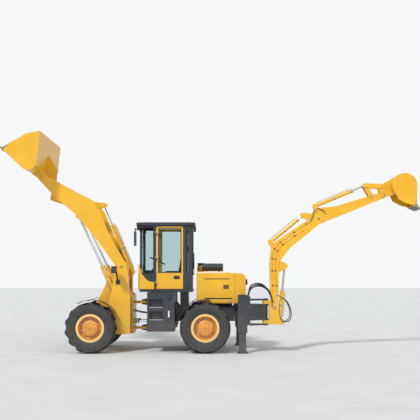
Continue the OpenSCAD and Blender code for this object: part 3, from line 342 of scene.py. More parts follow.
class BackhoeSizes(bpy.types.PropertyGroup):
    camera_distance: metres("Camera distance", "From the near wheels to the camera", 16.0)
    camera_height: metres("Camera height", "Height of the lens over the ground", 1.75)
    view_width: metres("View width", "Width of the picture at the machine's centre plane", 9.35)
    view_middle: metres("View middle", "Height over the ground at the middle of the picture", 3.1)
    # The pale flange ring that starts at this radius is a painted highlight
    highlight_ring_radius: metres("Pale ring radius", "Radius where a wheel's pale flange ring starts",
                             high("rim_front_left").x / 2 - low("rim_front_left").x / 2 - 0.045)


class BackhoeColours(bpy.types.PropertyGroup):
    body: hex_colour("Body", "Main enamel, sRGB hex", "#efb61f")
    body_shade: hex_colour("Body shade", "Main enamel's darker patches", "#e7ad1a")
    chassis: hex_colour("Chassis", "Frame enamel, sRGB hex", "#2b303b")
    chassis_shade: hex_colour("Chassis shade", "Frame enamel's darker patches", "#252a34")


# Finishes

# The material of each finish: its name, the function that fills its tree, and what the function is given
MAKERS = {
    "body": ("yellow_enamel", enamel, "body", "body_shade"),
    "chassis": ("charcoal_enamel", enamel, "chassis", "chassis_shade", 0.4, 0.2),
    "iron": ("cast_iron_paint", enamel, "#3a3d42", "#303338", 0.6, 0.0),
    "chrome": ("hard_chrome", hard_chrome),
    "zinc": ("zinc_plated_steel", zinc_steel),
    "wear": ("worn_wear_steel", worn_steel),
    "tyre": ("vulcanised_rubber", tyre_rubber),
    "hose": ("hydraulic_hose_rubber", hose_rubber),
    "seal": ("epdm_seal", moulded_plastic, "#1a1b1d", 0.7),
    "plastic": ("black_abs", moulded_plastic, "#1f2023"),
    "glass": ("float_glass", float_glass),
    "mirror": ("silvered_mirror", silvered),
    "clear_lens": ("clear_lens", lamp_lens, "#dfe4e6"),
    "amber_lens": ("amber_lens", lamp_lens, "#d9781a"),
    "red_lens": ("red_lens", lamp_lens, "#a81c18"),
    "vinyl": ("coated_vinyl", seat_vinyl),
    "core": ("radiator_core", radiator_core),
    "loader_bucket": ("loader_bucket_enamel", worn_enamel, "loader_tilt", BUCKET_RISE, 0.800),
    "digging_bucket": ("digging_bucket_enamel", worn_enamel, "digging_turn", DIG_DIR, 0.640),
    "front_wheel": ("front_wheel_enamel", wheel_enamel, "front_wheel_left"),
    "rear_wheel": ("rear_wheel_enamel", wheel_enamel, "rear_wheel_left"),
}
# The finished materials made so far, by key
FINISH = {}


def finish(key):
    """The finished material for a key, made once."""
    if key not in FINISH:
        name, fill, *given = MAKERS[key]
        FINISH[key], tree, space = blank(name)
        fill(tree, space, *given)
    return FINISH[key]


# Making pieces

def link(name, data):
    """A new object of the scene."""
    obj = bpy.data.objects.new(name, data)
    bpy.context.scene.collection.objects.link(obj)
    return obj


def link_mesh(name, bm):
    mesh = bpy.data.meshes.new(name)
    bm.to_mesh(mesh)
    bm.free()
    return link(name, mesh)


def piece(name, bm, body, key, angle=None):
    """Turns a bmesh, already in its place, into a piece with the finish of key.

    It rides on body, if one is given. Edges that bend less than angle degrees are smoothed.
    """
    bmesh.ops.recalc_face_normals(bm, faces=bm.faces)
    obj = link_mesh(name, bm)
    obj.data.materials.append(finish(key))
    if body:
        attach(obj, body)
    if angle:
        for polygon in obj.data.polygons:
            polygon.use_smooth = True
        obj.data.set_sharp_from_angle(angle=math.radians(angle))
    return obj


@contextmanager
def making(name, key, angle=None, body=REAR):
    """Gives an empty bmesh, and then makes the piece of what was added to it."""
    bm = bmesh.new()
    yield bm
    piece(name, bm, body, key, angle)


@contextmanager
def placed(bm, matrix):
    """Moves by matrix what is added to bm meanwhile."""
    old = set(bm.verts)
    yield
    bmesh.ops.transform(bm, matrix=matrix, verts=[v for v in bm.verts if v not in old])


def facing(direction, origin):
    """A matrix that turns +Z to direction and moves to origin."""
    turn = UP.rotation_difference(Vector(direction).normalized())
    return Matrix.Translation(Vector(origin)) @ turn.to_matrix().to_4x4()


def bevel_edges(bm, edges, width):
    bmesh.ops.bevel(bm, geom=edges, offset=width, affect="EDGES", segments=2, profile=0.5, material=-1)


def add_disc(bm, origin, direction, radius, height, segments=24, taper=1.0, bevel=0.0):
    """A closed round piece that starts at origin and grows along direction."""
    with placed(bm, facing(direction, origin) @ Matrix.Translation((0, 0, height / 2))):
        made = bmesh.ops.create_cone(bm, cap_ends=True, segments=segments, radius1=radius,
                                     radius2=radius * taper, depth=height)["verts"]
        if bevel:
            bevel_edges(bm, [e for e in {e for v in made for e in v.link_edges}
                             if abs(e.verts[0].co.z - e.verts[1].co.z) < 1e-6], bevel)


def add_block(bm, a, b, bevel=0.0, turn=Matrix()):
    """A block between two corners, with bevelled edges, that turn then moves."""
    a, b = Vector(a), Vector(b)
    with placed(bm, turn @ Matrix.Translation((a + b) / 2)):
        size = Matrix.Diagonal([abs(c) for c in b - a] + [1])
        made = bmesh.ops.create_cube(bm, size=1.0, matrix=size)["verts"]
        if bevel:
            bevel_edges(bm, list({e for v in made for e in v.link_edges}), bevel)


def add_plate(bm, sign, wall, xs, zs, back, front, bevel=0.0):
    """A plate on a side wall, from back behind its surface to front before it."""
    add_block(bm, (xs[0], sign * (wall - back), zs[0]), (xs[1], sign * (wall + front), zs[1]), bevel)


def add_ring(bm, origin, direction, inner, outer, height, segments=32):
    """A closed flat ring, made by spinning its section."""
    with placed(bm, facing(direction, origin)):
        corners = ((inner, 0), (outer, 0), (outer, height), (inner, height))
        section = [bm.verts.new((r, 0, z)) for r, z in corners]
        edges = [bm.edges.new((section[i - 1], section[i])) for i in range(4)]
        bmesh.ops.spin(bm, geom=section + edges, cent=(0, 0, 0), axis=(0, 0, 1), angle=math.tau,
                       steps=segments, use_merge=True)


def add_bolt(bm, origin, direction, across, height):
    """A hexagon head on a washer."""
    washer = height * 0.2
    add_disc(bm, origin, direction, across * 0.75, washer, 16)
    add_disc(bm, Vector(origin) + Vector(direction).normalized() * washer, direction,
             across / 2 * 1.1547, height - washer, 6, taper=0.96)


def add_bar(bm, a, b, radius, segments=8):
    """A round bar between two points."""
    a, b = Vector(a), Vector(b)
    add_disc(bm, a, b - a, radius, (b - a).length, segments)


def add_prism(bm, points, way):
    """A flat outline, extruded by the vector way."""
    face = bm.faces.new([bm.verts.new(p) for p in points])
    grown = bmesh.ops.extrude_face_region(bm, geom=[face])
    moved = [v for v in grown["geom"] if isinstance(v, bmesh.types.BMVert)]
    bmesh.ops.translate(bm, vec=way, verts=moved)


def add_frame(bm, centre, across, out, width, height, border, proud=0.005, back=0.004, bevel=0.0):
    """Four bars round an opening. across runs along its width, out points away from the wall."""
    turn = Matrix((Vector(across).normalized(), UP, Vector(out).normalized())).transposed().to_4x4()
    w, h = width / 2, height / 2
    bars = ((-w - border, -h - border, w + border, -h), (-w - border, h, w + border, h + border),
            (-w - border, -h, -w, h), (w, -h, w + border, h))
    for u0, v0, u1, v1 in bars:
        add_block(bm, (u0, v0, -back), (u1, v1, proud), bevel, Matrix.Translation(Vector(centre)) @ turn)


def add_rim(bm, centre, out, width, height, proud):
    """The rim of a lamp or vent that faces along x or y, with its outer width and height."""
    add_frame(bm, centre, (abs(out[1]), abs(out[0]), 0), out, width - 2 * RIM_BAR, height - 2 * RIM_BAR,
              RIM_BAR, proud, 0.003, 0.002)


def smooth_path(keys, steps=6):
    """A Catmull-Rom line through the key points."""
    keys = [Vector(k) for k in keys]
    ends = [keys[0] * 2 - keys[1]] + keys + [keys[-1] * 2 - keys[-2]]
    path = []
    for i in range(1, len(ends) - 2):
        p0, p1, p2, p3 = ends[i - 1:i + 3]
        for k in range(steps):
            t = k / steps
            path.append(0.5 * ((2 * p1) + (p2 - p0) * t + (2 * p0 - 5 * p1 + 4 * p2 - p3) * t ** 2
                               + (3 * p1 - p0 - 3 * p2 + p3) * t ** 3))
    return path + [keys[-1]]


def tube(name, path, diameter, body, key):
    """A round tube that follows a path, as a closed mesh."""
    curve = bpy.data.curves.new(name, "CURVE")
    curve.dimensions = "3D"
    curve.bevel_depth = diameter / 2
    curve.bevel_resolution = 2
    curve.use_fill_caps = True
    line = curve.splines.new("POLY")
    line.points.add(len(path) - 1)
    for point, place in zip(line.points, path):
        point.co = (*place, 1)
    guide = link(name + "_line", curve)
    bpy.context.view_layer.update()
    mesh = bpy.data.meshes.new_from_object(guide.evaluated_get(bpy.context.evaluated_depsgraph_get()))
    bpy.data.objects.remove(guide)
    bm = bmesh.new()
    bm.from_mesh(mesh)
    bpy.data.meshes.remove(mesh)
    bmesh.ops.remove_doubles(bm, verts=bm.verts, dist=1e-5)
    return piece(name, bm, body, key, 50)


def hose(name, path, diameter):
    """A free hydraulic hose along a path."""
    obj = tube(name, path, diameter, None, "hose")
    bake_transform(obj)


# Operators

class BACKHOE_OT_stage(bpy.types.Operator):
    """Camera, floor, backdrop and lights"""
    bl_idname = "backhoe.stage"
    bl_label = "Stage"

    def execute(self, context):
        scene, sizes = context.scene, context.scene.backhoe_sizes
        eye_y = high("tyre_front_left").y + sizes.camera_distance
        data = bpy.data.cameras.new("camera")
        camera = scene.camera = link("camera", data)
        data.sensor_width = SENSOR
        data.sensor_fit = "HORIZONTAL"
        data.lens = SENSOR * eye_y / sizes.view_width
        data.shift_y = (sizes.view_middle - sizes.camera_height) / sizes.view_width
        camera.location = ((CAD_BOX[0][0] + CAD_BOX[1][0]) / 2, eye_y, sizes.camera_height)
        camera.rotation_euler = (math.radians(90), 0, math.radians(180))

        bm = bmesh.new()
        bmesh.ops.create_grid(bm, x_segments=1, y_segments=1, size=60.0)
        floor = link_mesh("floor", bm)
        material, tree, space = blank("pale_concrete")
        cloud = add(tree, "TexNoise", Vector=space, Scale=METRE / 900, Detail=5.0)
        surface(tree, Roughness=0.9,
                Base_Color=add(tree, "ValToRGB", Fac=cloud, stops=((0.3, "#d6d6d4"), (0.7, "#dededc"))))
        floor.data.materials.append(material)

        world = scene.world = bpy.data.worlds.new("studio")
        world.use_nodes = True
        tree = world.node_tree
        tree.nodes.clear()
        seen = add(tree, "Background", Color="#f6f7f8", Strength=1.0)
        light = add(tree, "Background", Color="#e9eef4", Strength=0.62)
        ray = add(tree, "LightPath").outputs
        either = add(tree, "Math", {0: ray["Is Camera Ray"], 1: ray["Is Glossy Ray"]}, operation="MAXIMUM")
        any_of = add(tree, "Math", {0: either, 1: ray["Is Transmission Ray"]}, operation="MAXIMUM")
        both = add(tree, "MixShader", {0: any_of, 1: light, 2: seen})
        add(tree, "OutputWorld", Surface=both)

        suns = (("key", 48, 150, 2.1, 0.12), ("fill", 62, -130, 0.5, 0.5))
        for name, tilt, heading, energy, softness in suns:
            data = bpy.data.lights.new(name, "SUN")
            data.energy, data.angle = energy, softness
            link(name, data).rotation_euler = (math.radians(tilt), 0, math.radians(heading))
        scene.view_settings.view_transform = "Standard"
        return {"FINISHED"}


class BACKHOE_OT_enamel(bpy.types.Operator):
    """Paints every piece of the frame with the finish of the real one"""
    bl_idname = "backhoe.enamel"
    bl_label = "Enamel and metal"

    def execute(self, context):
        # Finishes by the record's slot, and of the nodes that have their own
        keys = {"yellow": "body", "black": "chassis", "steel": "chrome", "tyre": "tyre", "glass": "glass",
                "iron": "iron"}
        special = {"cab_interior": "plastic", "loader_bucket": "loader_bucket",
                   "digging_bucket": "digging_bucket"}
        special |= {f"rim_{axle}_{side}": f"{axle}_wheel" for axle in ("front", "rear") for side in SIDES}
        for row in frame["record"]["subparts"]:
            node = row["node"]
            materials = frame["nodes"][node].data.materials
            materials.clear()
            materials.append(finish(special.get(node, keys[row["material_slot"]])))
        return {"FINISHED"}


class BACKHOE_OT_wheel_nuts(bpy.types.Operator):
    """Nuts, hub bolts, hub cap and valve of each wheel"""
    bl_idname = "backhoe.wheel_nuts"
    bl_label = "Wheel nuts"

    def execute(self, context):
        for axle in ("front", "rear"):
            for side, sign in SIDES.items():
                way, hub = Vector((0, sign, 0)), joint_place(f"{axle}_wheel_{side}")
                with making(f"wheel_nuts_{axle}_{side}", "zinc", 30, f"wheel_{axle}_{side}") as bm:
                    for i in range(10):
                        place = hub + slope(math.tau * (i + 0.5) / 10) * NUT_CIRCLE + way * 0.054
                        add_bolt(bm, place, way, 0.032, 0.026)
                with making(f"hub_bolts_{axle}_{side}", "zinc", 30, f"wheel_{axle}_{side}") as bm:
                    for i in range(8):
                        place = hub + slope(math.tau * i / 8) * HUB_CIRCLE + way * 0.1265
                        add_bolt(bm, place, way, 0.018, 0.010)
                    add_disc(bm, hub + way * 0.129, way, 0.022, 0.010, 6)
                    stem = hub + slope(math.radians(62)) * VALVE_CIRCLE + way * 0.056
                    add_disc(bm, stem, way, 0.006, 0.048, 12, 0.9)
                    add_disc(bm, stem + way * 0.048, way, 0.0045, 0.012, 10)
        return {"FINISHED"}


class BACKHOE_OT_hood_trim(bpy.types.Operator):
    """Stripes, vents, catches and seams of the hood, its grille, pre-cleaner bowl, radiator and bands"""
    bl_idname = "backhoe.hood_trim"
    bl_label = "Hood trim"

    def execute(self, context):
        a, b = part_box("hood")
        for side, sign in SIDES.items():
            wall = b.y
            with making(f"hood_stripes_{side}", "plastic") as bm:
                for back, front, z0, z1 in ((0.72, 0.17, 1.560, 1.580), (0.78, 0.18, 1.130, 1.160)):
                    add_plate(bm, sign, wall, (b.x - back, b.x - front), (z0, z1), 0.006, -0.001)
                for k in range(5):
                    z = 1.372 + 0.012 * k
                    add_plate(bm, sign, wall, (b.x - 0.688, b.x - 0.592), (z, z + 0.006), 0, 0.006, 0.001)
                add_rim(bm, (b.x - 0.64, sign * wall, 1.399), (0, sign, 0), 0.112, 0.082, 0.010)
            with making(f"hood_seams_{side}", "seal") as bm:
                for x in (b.x - 0.012, a.x + 0.24):
                    add_plate(bm, sign, wall, (x - 0.002, x + 0.002), (a.z + 0.03, b.z - 0.06), 0.001, 0.0012)
                add_plate(bm, sign, wall, (a.x + 0.03, b.x - 0.01), (a.z + 0.016, a.z + 0.020), 0.001, 0.0012)
            with making(f"hood_catches_{side}", "zinc") as bm:
                for x in (b.x - 0.14, a.x + 0.34):
                    zs = (a.z + 0.026, a.z + 0.070)
                    add_plate(bm, sign, wall, (x - 0.018, x + 0.018), zs, 0.001, 0.008, 0.003)
                    add_bolt(bm, (x, sign * (wall + 0.008), a.z + 0.048), (0, sign, 0), 0.014, 0.008)
        with making("grille_slats", "plastic") as bm:
            x = a.x + 0.030
            for z in (1.130, 1.210, 1.290, 1.370):
                for k in range(2):
                    turn = Matrix.Translation((x, 0, z + 0.014 + 0.018 * k)) @ Matrix.Rotation(0.6, 4, "Y")
                    add_block(bm, (-0.011, -0.269, -0.001), (0.011, 0.269, 0.001), turn=turn)
            for y in (-0.18, -0.06, 0.06, 0.18):
                add_block(bm, (x - 0.0157, y - 0.003, 1.118), (x + 0.004, y + 0.003, 1.420))
        # The enamelled bowl of the pre-cleaner, over the node's dark body
        with making("cleaner_bowl", "body", 40) as bm:
            (_, y, z), (x, _, _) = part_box("air_intake")
            add_disc(bm, (x - 0.075, y + 0.075, z + 0.004), UP, 0.0768, 0.128, 36, bevel=0.004)
        with making("radiator_core", "core") as bm:
            add_block(bm, (a.x + 0.084, -0.30, 1.10), (a.x + 0.089, 0.30, 1.45))
        with making("precleaner_band", "body", 35) as bm:
            for lift, *sizes in ((0.128, 0.060, 0.0785, 0.010), (0.030, 0.0752, 0.0775, 0.014)):
                add_ring(bm, (b.x - 0.080, -0.230, b.z + lift), UP, *sizes, 40)
        with making("silencer_bands", "chassis", 35) as bm:
            for x in (-0.548, -0.418, -0.298, -0.168):
                place = (b.x + x, 0.090, b.z + 0.095)
                add_ring(bm, place, (1, 0, 0), 0.0852, 0.0885, 0.016, 40)
        return {"FINISHED"}


class BACKHOE_OT_lamps(bpy.types.Operator):
    """Lenses and rims of the lamps on the roof, the hood and the stalks, and the mirrors' glass and feet"""
    bl_idname = "backhoe.lamps"
    bl_label = "Lamps and mirrors"

    def execute(self, context):
        (back, _, _), (front, _, top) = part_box("work_lamps")
        z = top - 0.045
        pivot = joint_place("steering").x
        with making("lamp_lenses", "clear_lens") as lenses, \
                making("lamp_rims", "plastic", 35) as rims, \
                making("tail_lenses", "red_lens", 35) as tail:
            for sign in (1, -1):
                for x, y, way in ((front, 0.310, 1), (low("cab_shell").x - 0.055, 0.460, -1)):
                    zs = (z - 0.035, z + 0.035)
                    add_plate(lenses, sign, y, (x, x + way * 0.004), zs, 0.050, 0.050, 0.0015)
                    add_rim(rims, (x, sign * y, z), (way, 0, 0), 0.118, 0.088, 0.008)
                round_lamp, rearward = (back, sign * 0.300, 1.500), (-1, 0, 0)
                add_disc(lenses, round_lamp, rearward, 0.052, 0.006, 32, 0.85)
                add_ring(rims, round_lamp, rearward, 0.0525, 0.0615, 0.008, 40)
                add_disc(tail, (low("hood").x + 0.006, sign * 0.170, 1.500), rearward, 0.030, 0.016, 24, 0.8)
        with making("headlamp_lenses", "clear_lens", body=FRONT) as lenses, \
                making("turn_lenses", "amber_lens", body=FRONT) as amber, \
                making("headlamp_rims", "plastic", 35, FRONT) as rims:
            x, y, z = pivot + 0.645, 0.830, 1.770
            zs = (z - 0.062, z + 0.062)
            for sign in (1, -1):
                add_plate(lenses, sign, y, (x, x + 0.004), zs, 0.103, 0.050, 0.0015)
                add_plate(amber, sign, y, (x, x + 0.005), zs, -0.056, 0.104, 0.0015)
                add_rim(rims, (x, sign * y, z), (1, 0, 0), 0.228, 0.148, 0.008)
                add_disc(rims, (x - 0.045, sign * y, z - 0.078), UP, 0.020, 0.008, 16)
        x, z = pivot + 0.135, 2.425
        with making("mirror_glass", "mirror") as bm:
            for sign in (1, -1):
                zs = (z - 0.138, z + 0.138)
                add_plate(bm, sign, 0.860, (x - 0.003, x + 0.001), zs, 0.066, 0.066, 0.001)
        with making("mirror_feet", "chassis") as bm:
            for sign in (1, -1):
                add_plate(bm, sign, 0.446, (x - 0.088, x - 0.044), (2.600, 2.668), 0, 0.054, 0.004)
        return {"FINISHED"}


class BACKHOE_OT_pins(bpy.types.Operator):
    """End caps, bolts and grease nipples on the linkage pins"""
    bl_idname = "backhoe.pins"
    bl_label = "Linkage pins"

    def execute(self, context):
        # joint, body that carries the pin, the pin's middle and half length in y, its radius
        rows = (
            ("loader_lift", FRONT, 0, 0.543, 0.030),
            ("loader_tilt", "loader_bucket", 0, 0.532, 0.027),
            ("rocker_turn", "loader_arms", 0, 0.0855, 0.027),
            ("link_turn", "loader_rocker", 0, 0.063, 0.022),
            ("boom_turn", "swing_post", HOE_Y, 0.1305, 0.030),
            ("stick_turn", "boom", HOE_Y, 0.105, 0.028),
            ("digging_turn", "digging_bucket", HOE_Y, 0.0965, 0.022),
            ("digging_rocker_turn", "digging_rocker", HOE_Y, 0.0965, 0.020),
        )
        for name, body, middle, half, radius in rows:
            with making(f"pin_ends_{name}", "zinc", 30, body) as bm:
                for sign in (1, -1):
                    way = Vector((0, sign, 0))
                    place = joint_place(name)
                    place.y = middle + sign * half
                    add_disc(bm, place, way, radius - 0.003, 0.004, 28, 0.92)
                    add_bolt(bm, place + way * 0.004, way, radius * 0.62, 0.008)
                    nipple = place + way * 0.003 + Vector((radius * 0.62, 0, 0))
                    add_disc(bm, nipple, way, 0.005, 0.012, 10, 0.6)
        return {"FINISHED"}


class BACKHOE_OT_rams(bpy.types.Operator):
    """Gland nuts, rod wipers, ports and steel lines of the hydraulic rams"""
    bl_idname = "backhoe.rams"
    bl_label = "Ram fittings"

    def execute(self, context):
        # ram, body of its tube, centres in y, radius of its tube and rod, tube length, side of its line
        rows = (
            ("lift", "lift_barrels", (0.405, -0.405), 0.045, 0.025, 1.215, 1),
            ("tilt", "tilt_barrel", (0.0,), 0.050, 0.0275, 1.130, -1),
            ("boom", "boom_barrel", (HOE_Y,), 0.045, 0.025, 0.620, -1),
            ("stick", "stick_barrel", (HOE_Y,), 0.0425, 0.0225, 0.760, 1),
            ("digging", "digging_barrel", (HOE_Y,), 0.040, 0.021, 0.860, 1),
        )
        for ram, body, ys, tube_r, rod_r, reach, side in rows:
            way = Vector(joint(f"{ram}_rod_slide")["axis"])
            out = square_to(way) * -side
            lines = []
            with making(f"{body}_fittings", "zinc", 30, body) as bm:
                for y in ys:
                    start = joint_place(f"{ram}_barrel_turn")
                    start.y = y
                    end = start + way * reach
                    add_ring(bm, end - way * 0.050, way, tube_r + 0.0003, tube_r + 0.005, 0.042, 36)
                    add_ring(bm, end, way, rod_r + 0.0015, rod_r + 0.012, 0.005, 32)
                    near, far = start + way * 0.085, end - way * 0.085
                    half_way = (near + far) / 2
                    for place in (near, far):
                        add_disc(bm, place + out * (tube_r - 0.003), out, 0.014, 0.010, 16)
                        add_disc(bm, place + out * (tube_r + 0.006), out, 0.012, 0.014, 6)
                    add_ring(bm, half_way - way * 0.012, way, tube_r + 0.0003, tube_r + 0.003, 0.024, 36)
                    foot, lift = out * (tube_r + 0.012), out * (tube_r + 0.016)
                    lines.append([near + foot, near + lift + way * 0.03, half_way + lift,
                                  far + lift - way * 0.03, far + foot])
            for i, keys in enumerate(lines):
                tube(f"{body}_line_{i + 1}", smooth_path(keys, 5), 0.012, body, "zinc")
        return {"FINISHED"}


class BACKHOE_OT_glazing(bpy.types.Operator):
    """Panels under the corner windows, rubber seals round the windows, door handles and wipers"""
    bl_idname = "backhoe.glazing"
    bl_label = "Glazing, handles and wipers"

    def execute(self, context):
        front_x, back_x = high("cab_cowl").x - 0.052, low("cab_shell").x
        pivot = joint_place("steering").x
        # The corner wall, from the door's post to the front window, for the left side
        wall_start, wall_end = Vector((pivot - 0.237, 0.600, 0)), Vector((pivot + 0.095, 0.430, 0))
        along = (wall_end - wall_start).normalized()
        out = Vector((-along.y, along.x, 0))
        # Outline of the panel: share of the way along the wall, height over the sill
        base = low("cab_shell").z + 0.012 - SILL
        outline = ((0.03, base), (0.99, base), (0.99, 0.085), (0.885, 0.088), (0.875, -0.026), (0.80, -0.045),
                   (0.70, -0.090), (0.56, -0.140), (0.40, -0.175), (0.22, -0.190), (0.03, -0.196))
        mirrors = (Vector((1, 1, 1)), Vector((1, -1, 1)))
        with making("cab_corner_panels", "body") as bm:
            for mirror in mirrors:
                add_prism(bm, [(wall_start.lerp(wall_end, t) - out * 0.002 + UP * (SILL + z)) * mirror
                               for t, z in outline], out * 0.008 * mirror)
        pane_middle, pane_height = (SILL + PANE_TOP) / 2, 0.961
        rear_middle = (SILL + REAR_PANE_TOP) / 2
        with making("window_seals", "seal") as bm:
            add_frame(bm, (front_x, 0, pane_middle), (0, 1, 0), (1, 0, 0), 0.716, pane_height, 0.014)
            add_frame(bm, (back_x, 0, rear_middle), (0, -1, 0), (-1, 0, 0), 0.876, 0.911, 0.014)
            centre = wall_start + along * (0.034 + 0.282 / 2) + UP * pane_middle
            for mirror in mirrors:
                add_frame(bm, centre * mirror, along * mirror, out * mirror, 0.282, pane_height, 0.012)
        for side, sign in SIDES.items():
            a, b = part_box(f"door_glass_{side}")
            with making(f"door_seal_{side}", "seal", body=f"door_{side}") as bm:
                add_frame(bm, ((a.x + b.x) / 2, sign * DOOR_WALL, (a.z + b.z) / 2), (1, 0, 0), (0, sign, 0),
                          b.x - a.x, b.z - a.z, 0.016)
            with making(f"door_handle_{side}", "plastic", body=f"door_{side}") as bm:
                x, z = low(f"door_{side}").x + 0.070, a.z - 0.150
                add_plate(bm, sign, DOOR_WALL, (x, x + 0.130), (z, z + 0.070), 0.002, 0.008, 0.004)
                xs, zs = (x + 0.012, x + 0.112), (z + 0.030, z + 0.050)
                add_plate(bm, sign, DOOR_WALL, xs, zs, -0.008, 0.028, 0.005)
                lock = (x + 0.096, sign * (DOOR_WALL + 0.008), z + 0.015)
                add_disc(bm, lock, (0, sign, 0), 0.008, 0.004, 16)
        with making("wipers", "plastic", 35) as bm:
            for x, way, y, height in ((front_x, 1, 0.05, 0.62), (back_x, -1, -0.10, 0.55)):
                ahead = Vector((way, 0, 0))
                foot = Vector((x, y, 1.672)) + ahead * 0.010
                add_block(bm, (x - way * 0.002, y - 0.030, 1.650), (x + way * 0.014, y + 0.030, 1.694), 0.004)
                add_disc(bm, foot, ahead, 0.014, 0.022, 16)
                elbow = foot + ahead * 0.018 + Vector((0, -0.060, height * 0.55))
                blade = elbow - ahead * 0.012
                arm_half, blade_half = Vector((0, -0.030, height * 0.30)), Vector((0, -0.034, height * 0.33))
                add_bar(bm, foot + ahead * 0.016, elbow, 0.0055)
                add_bar(bm, elbow - arm_half, elbow + arm_half, 0.0045)
                add_bar(bm, blade - blade_half, blade + blade_half, 0.0065, 6)
                add_bar(bm, elbow, blade, 0.005)
        return {"FINISHED"}


class BACKHOE_OT_seat(bpy.types.Operator):
    """Driver's seat cushions and lever boots"""
    bl_idname = "backhoe.seat"
    bl_label = "Seat"

    def execute(self, context):
        back, floor = low("cab_shell").x, high("cab_floor").z
        cushions = (
            ("seat_cushion", (back + 0.394, 0, floor + 0.335), (0.424, 0.500, 0.130), 0.0),
            ("seat_back", (back + 0.202, 0, floor + 0.665), (0.124, 0.484, 0.600), -0.170),
        )
        for name, centre, size, lean in cushions:
            bm = bmesh.new()
            bmesh.ops.create_cube(bm, size=1.0)
            bmesh.ops.subdivide_edges(bm, edges=bm.edges, cuts=7, use_grid_fill=True)
            for v in bm.verts:
                x, y, z = v.co
                u, w, h = x * 2, y * 2, z * 2
                waist = 1 - 0.018 * (1 - abs(h)) * (1 - u * u * 0.5)
                channel = 0.035 * math.exp(-((abs(w) - 0.57) / 0.08) ** 2)
                if name == "seat_cushion":
                    crown = 0.05 * (1 - u * u) * (1 - w * w)
                    v.co = (x * waist, y * waist, z + (h > 0.5) * crown - (h > 0.9) * channel)
                else:
                    bulge = 0.06 * (1 - w * w) * (1 - h * h)
                    v.co = (x + (u > 0.5) * bulge - (u > 0.9) * channel, y * waist, z)
            place = Matrix.Translation(centre) @ Matrix.Rotation(lean, 4, "Y") @ Matrix.Diagonal((*size, 1))
            bmesh.ops.transform(bm, matrix=place, verts=bm.verts)
            obj = piece(name, bm, REAR, "vinyl", 80)
            soften = obj.modifiers.new("soften", "SUBSURF")
            soften.levels = soften.render_levels = 1
        with making("lever_boots", "seal", 35) as bm:
            for y in (-0.120, -0.040, 0.040, 0.120):
                for k in range(3):
                    place = (back + 0.080, y, floor + 0.521 + 0.012 * k)
                    add_disc(bm, place, UP, 0.026 - 0.004 * k, 0.010, 20, 0.8)
        return {"FINISHED"}


class BACKHOE_OT_steps(bpy.types.Operator):
    """Grip plates in the steps, filler caps, tank seams and sight gauges"""
    bl_idname = "backhoe.steps"
    bl_label = "Steps and tanks"

    def execute(self, context):
        a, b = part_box("tanks_and_steps")
        for side, sign in SIDES.items():
            with making(f"step_grips_{side}", "zinc") as bm:
                for z in (0.700, 0.960):
                    for i in range(9):
                        for k in range(3):
                            place = (b.x - 0.318 + 0.034 * i, sign * (0.780 + 0.030 * k), z)
                            add_ring(bm, place, UP, 0.006, 0.010, 0.004, 12)
                    xs = (b.x - 0.328, b.x - 0.042)
                    add_plate(bm, sign, TANK_WALL, xs, (z, z + 0.022), 0.008, -0.002, 0.002)
            with making(f"filler_cap_{side}", "plastic", 35) as bm:
                x, z = a.x + 0.120, 1.180
                place = (x, sign * TANK_WALL, z)
                add_ring(bm, place, (0, sign, 0), 0.036, 0.046, 0.012, 32)
                add_disc(bm, place, (0, sign, 0), 0.038, 0.030, 24, 0.94, 0.003)
                zs = (z - 0.006, z + 0.006)
                add_plate(bm, sign, TANK_WALL, (x - 0.030, x + 0.030), zs, -0.026, 0.036, 0.003)
            with making(f"tank_seams_{side}", "chassis") as bm:
                x = a.x + 0.230
                seams = [((x - 0.004, x + 0.004), (a.z + 0.01, b.z - 0.01))]
                seams += [((b.x - 0.340, b.x - 0.010), (z - 0.004, z + 0.004))
                          for z in (a.z + 0.02, 0.900, b.z - 0.03)]
                for xs, zs in seams:
                    add_plate(bm, sign, TANK_WALL, xs, zs, 0.002, 0.0018, 0.0015)
                for z in (a.z + 0.060, b.z - 0.060):
                    for x in (a.x + 0.030, b.x - 0.030):
                        add_bolt(bm, (x, sign * TANK_WALL, z), (0, sign, 0), 0.022, 0.010)
            with making(f"sight_gauge_{side}", "clear_lens") as bm:
                xs = (a.x + 0.104, a.x + 0.136)
                add_plate(bm, sign, TANK_WALL, xs, (0.760, 0.900), 0.002, 0.006, 0.003)
        return {"FINISHED"}


class BACKHOE_OT_carriage(bpy.types.Operator):
    """Cheek plates, kingpin column and webs between the carriage's forks, and its clamp bolts"""
    bl_idname = "backhoe.carriage"
    bl_label = "Carriage cheeks"

    def execute(self, context):
        swing = joint_place("swing")
        x, y = swing.x, swing.y
        with making("carriage_cheeks", "chassis", body="carriage") as bm:
            for sign in (1, -1):
                near = Vector((x + 0.118, y + sign * 0.056, 0.700))
                far = Vector((x + 0.332, y + sign * 0.190, 0.700))
                across = Vector((far.y - near.y, near.x - far.x, 0)).normalized() * 0.010
                add_prism(bm, (near - across, far - across, far + across, near + across), (0, 0, 0.340))
            add_block(bm, (x + 0.320, y - 0.150, 1.115), (x + 0.334, y + 0.150, 1.200), 0.002)
            for z in (0.840, 0.900):
                add_block(bm, (x + 0.150, y - 0.062, z), (x + 0.332, y + 0.062, z + 0.016), 0.002)
            # The kingpin's column between the forks, and the webs from it to the cheeks
            add_disc(bm, (x, y, 0.705), UP, 0.052, 0.330, 28)
            for sign in (1, -1):
                web = y + sign * 0.045
                add_block(bm, (x + 0.030, web - 0.005, 0.705), (x + 0.145, web + 0.005, 1.035), 0.002)
        with making("clamp_bolts", "zinc", 30, "carriage") as bm:
            for z in (0.640, 0.760, 0.980, 1.160):
                for sign in (1, -1):
                    place = (high("side_shift_carriage").x - 0.082, y + sign * 0.212, z)
                    add_bolt(bm, place, (-1, 0, 0), 0.026, 0.014)
        return {"FINISHED"}


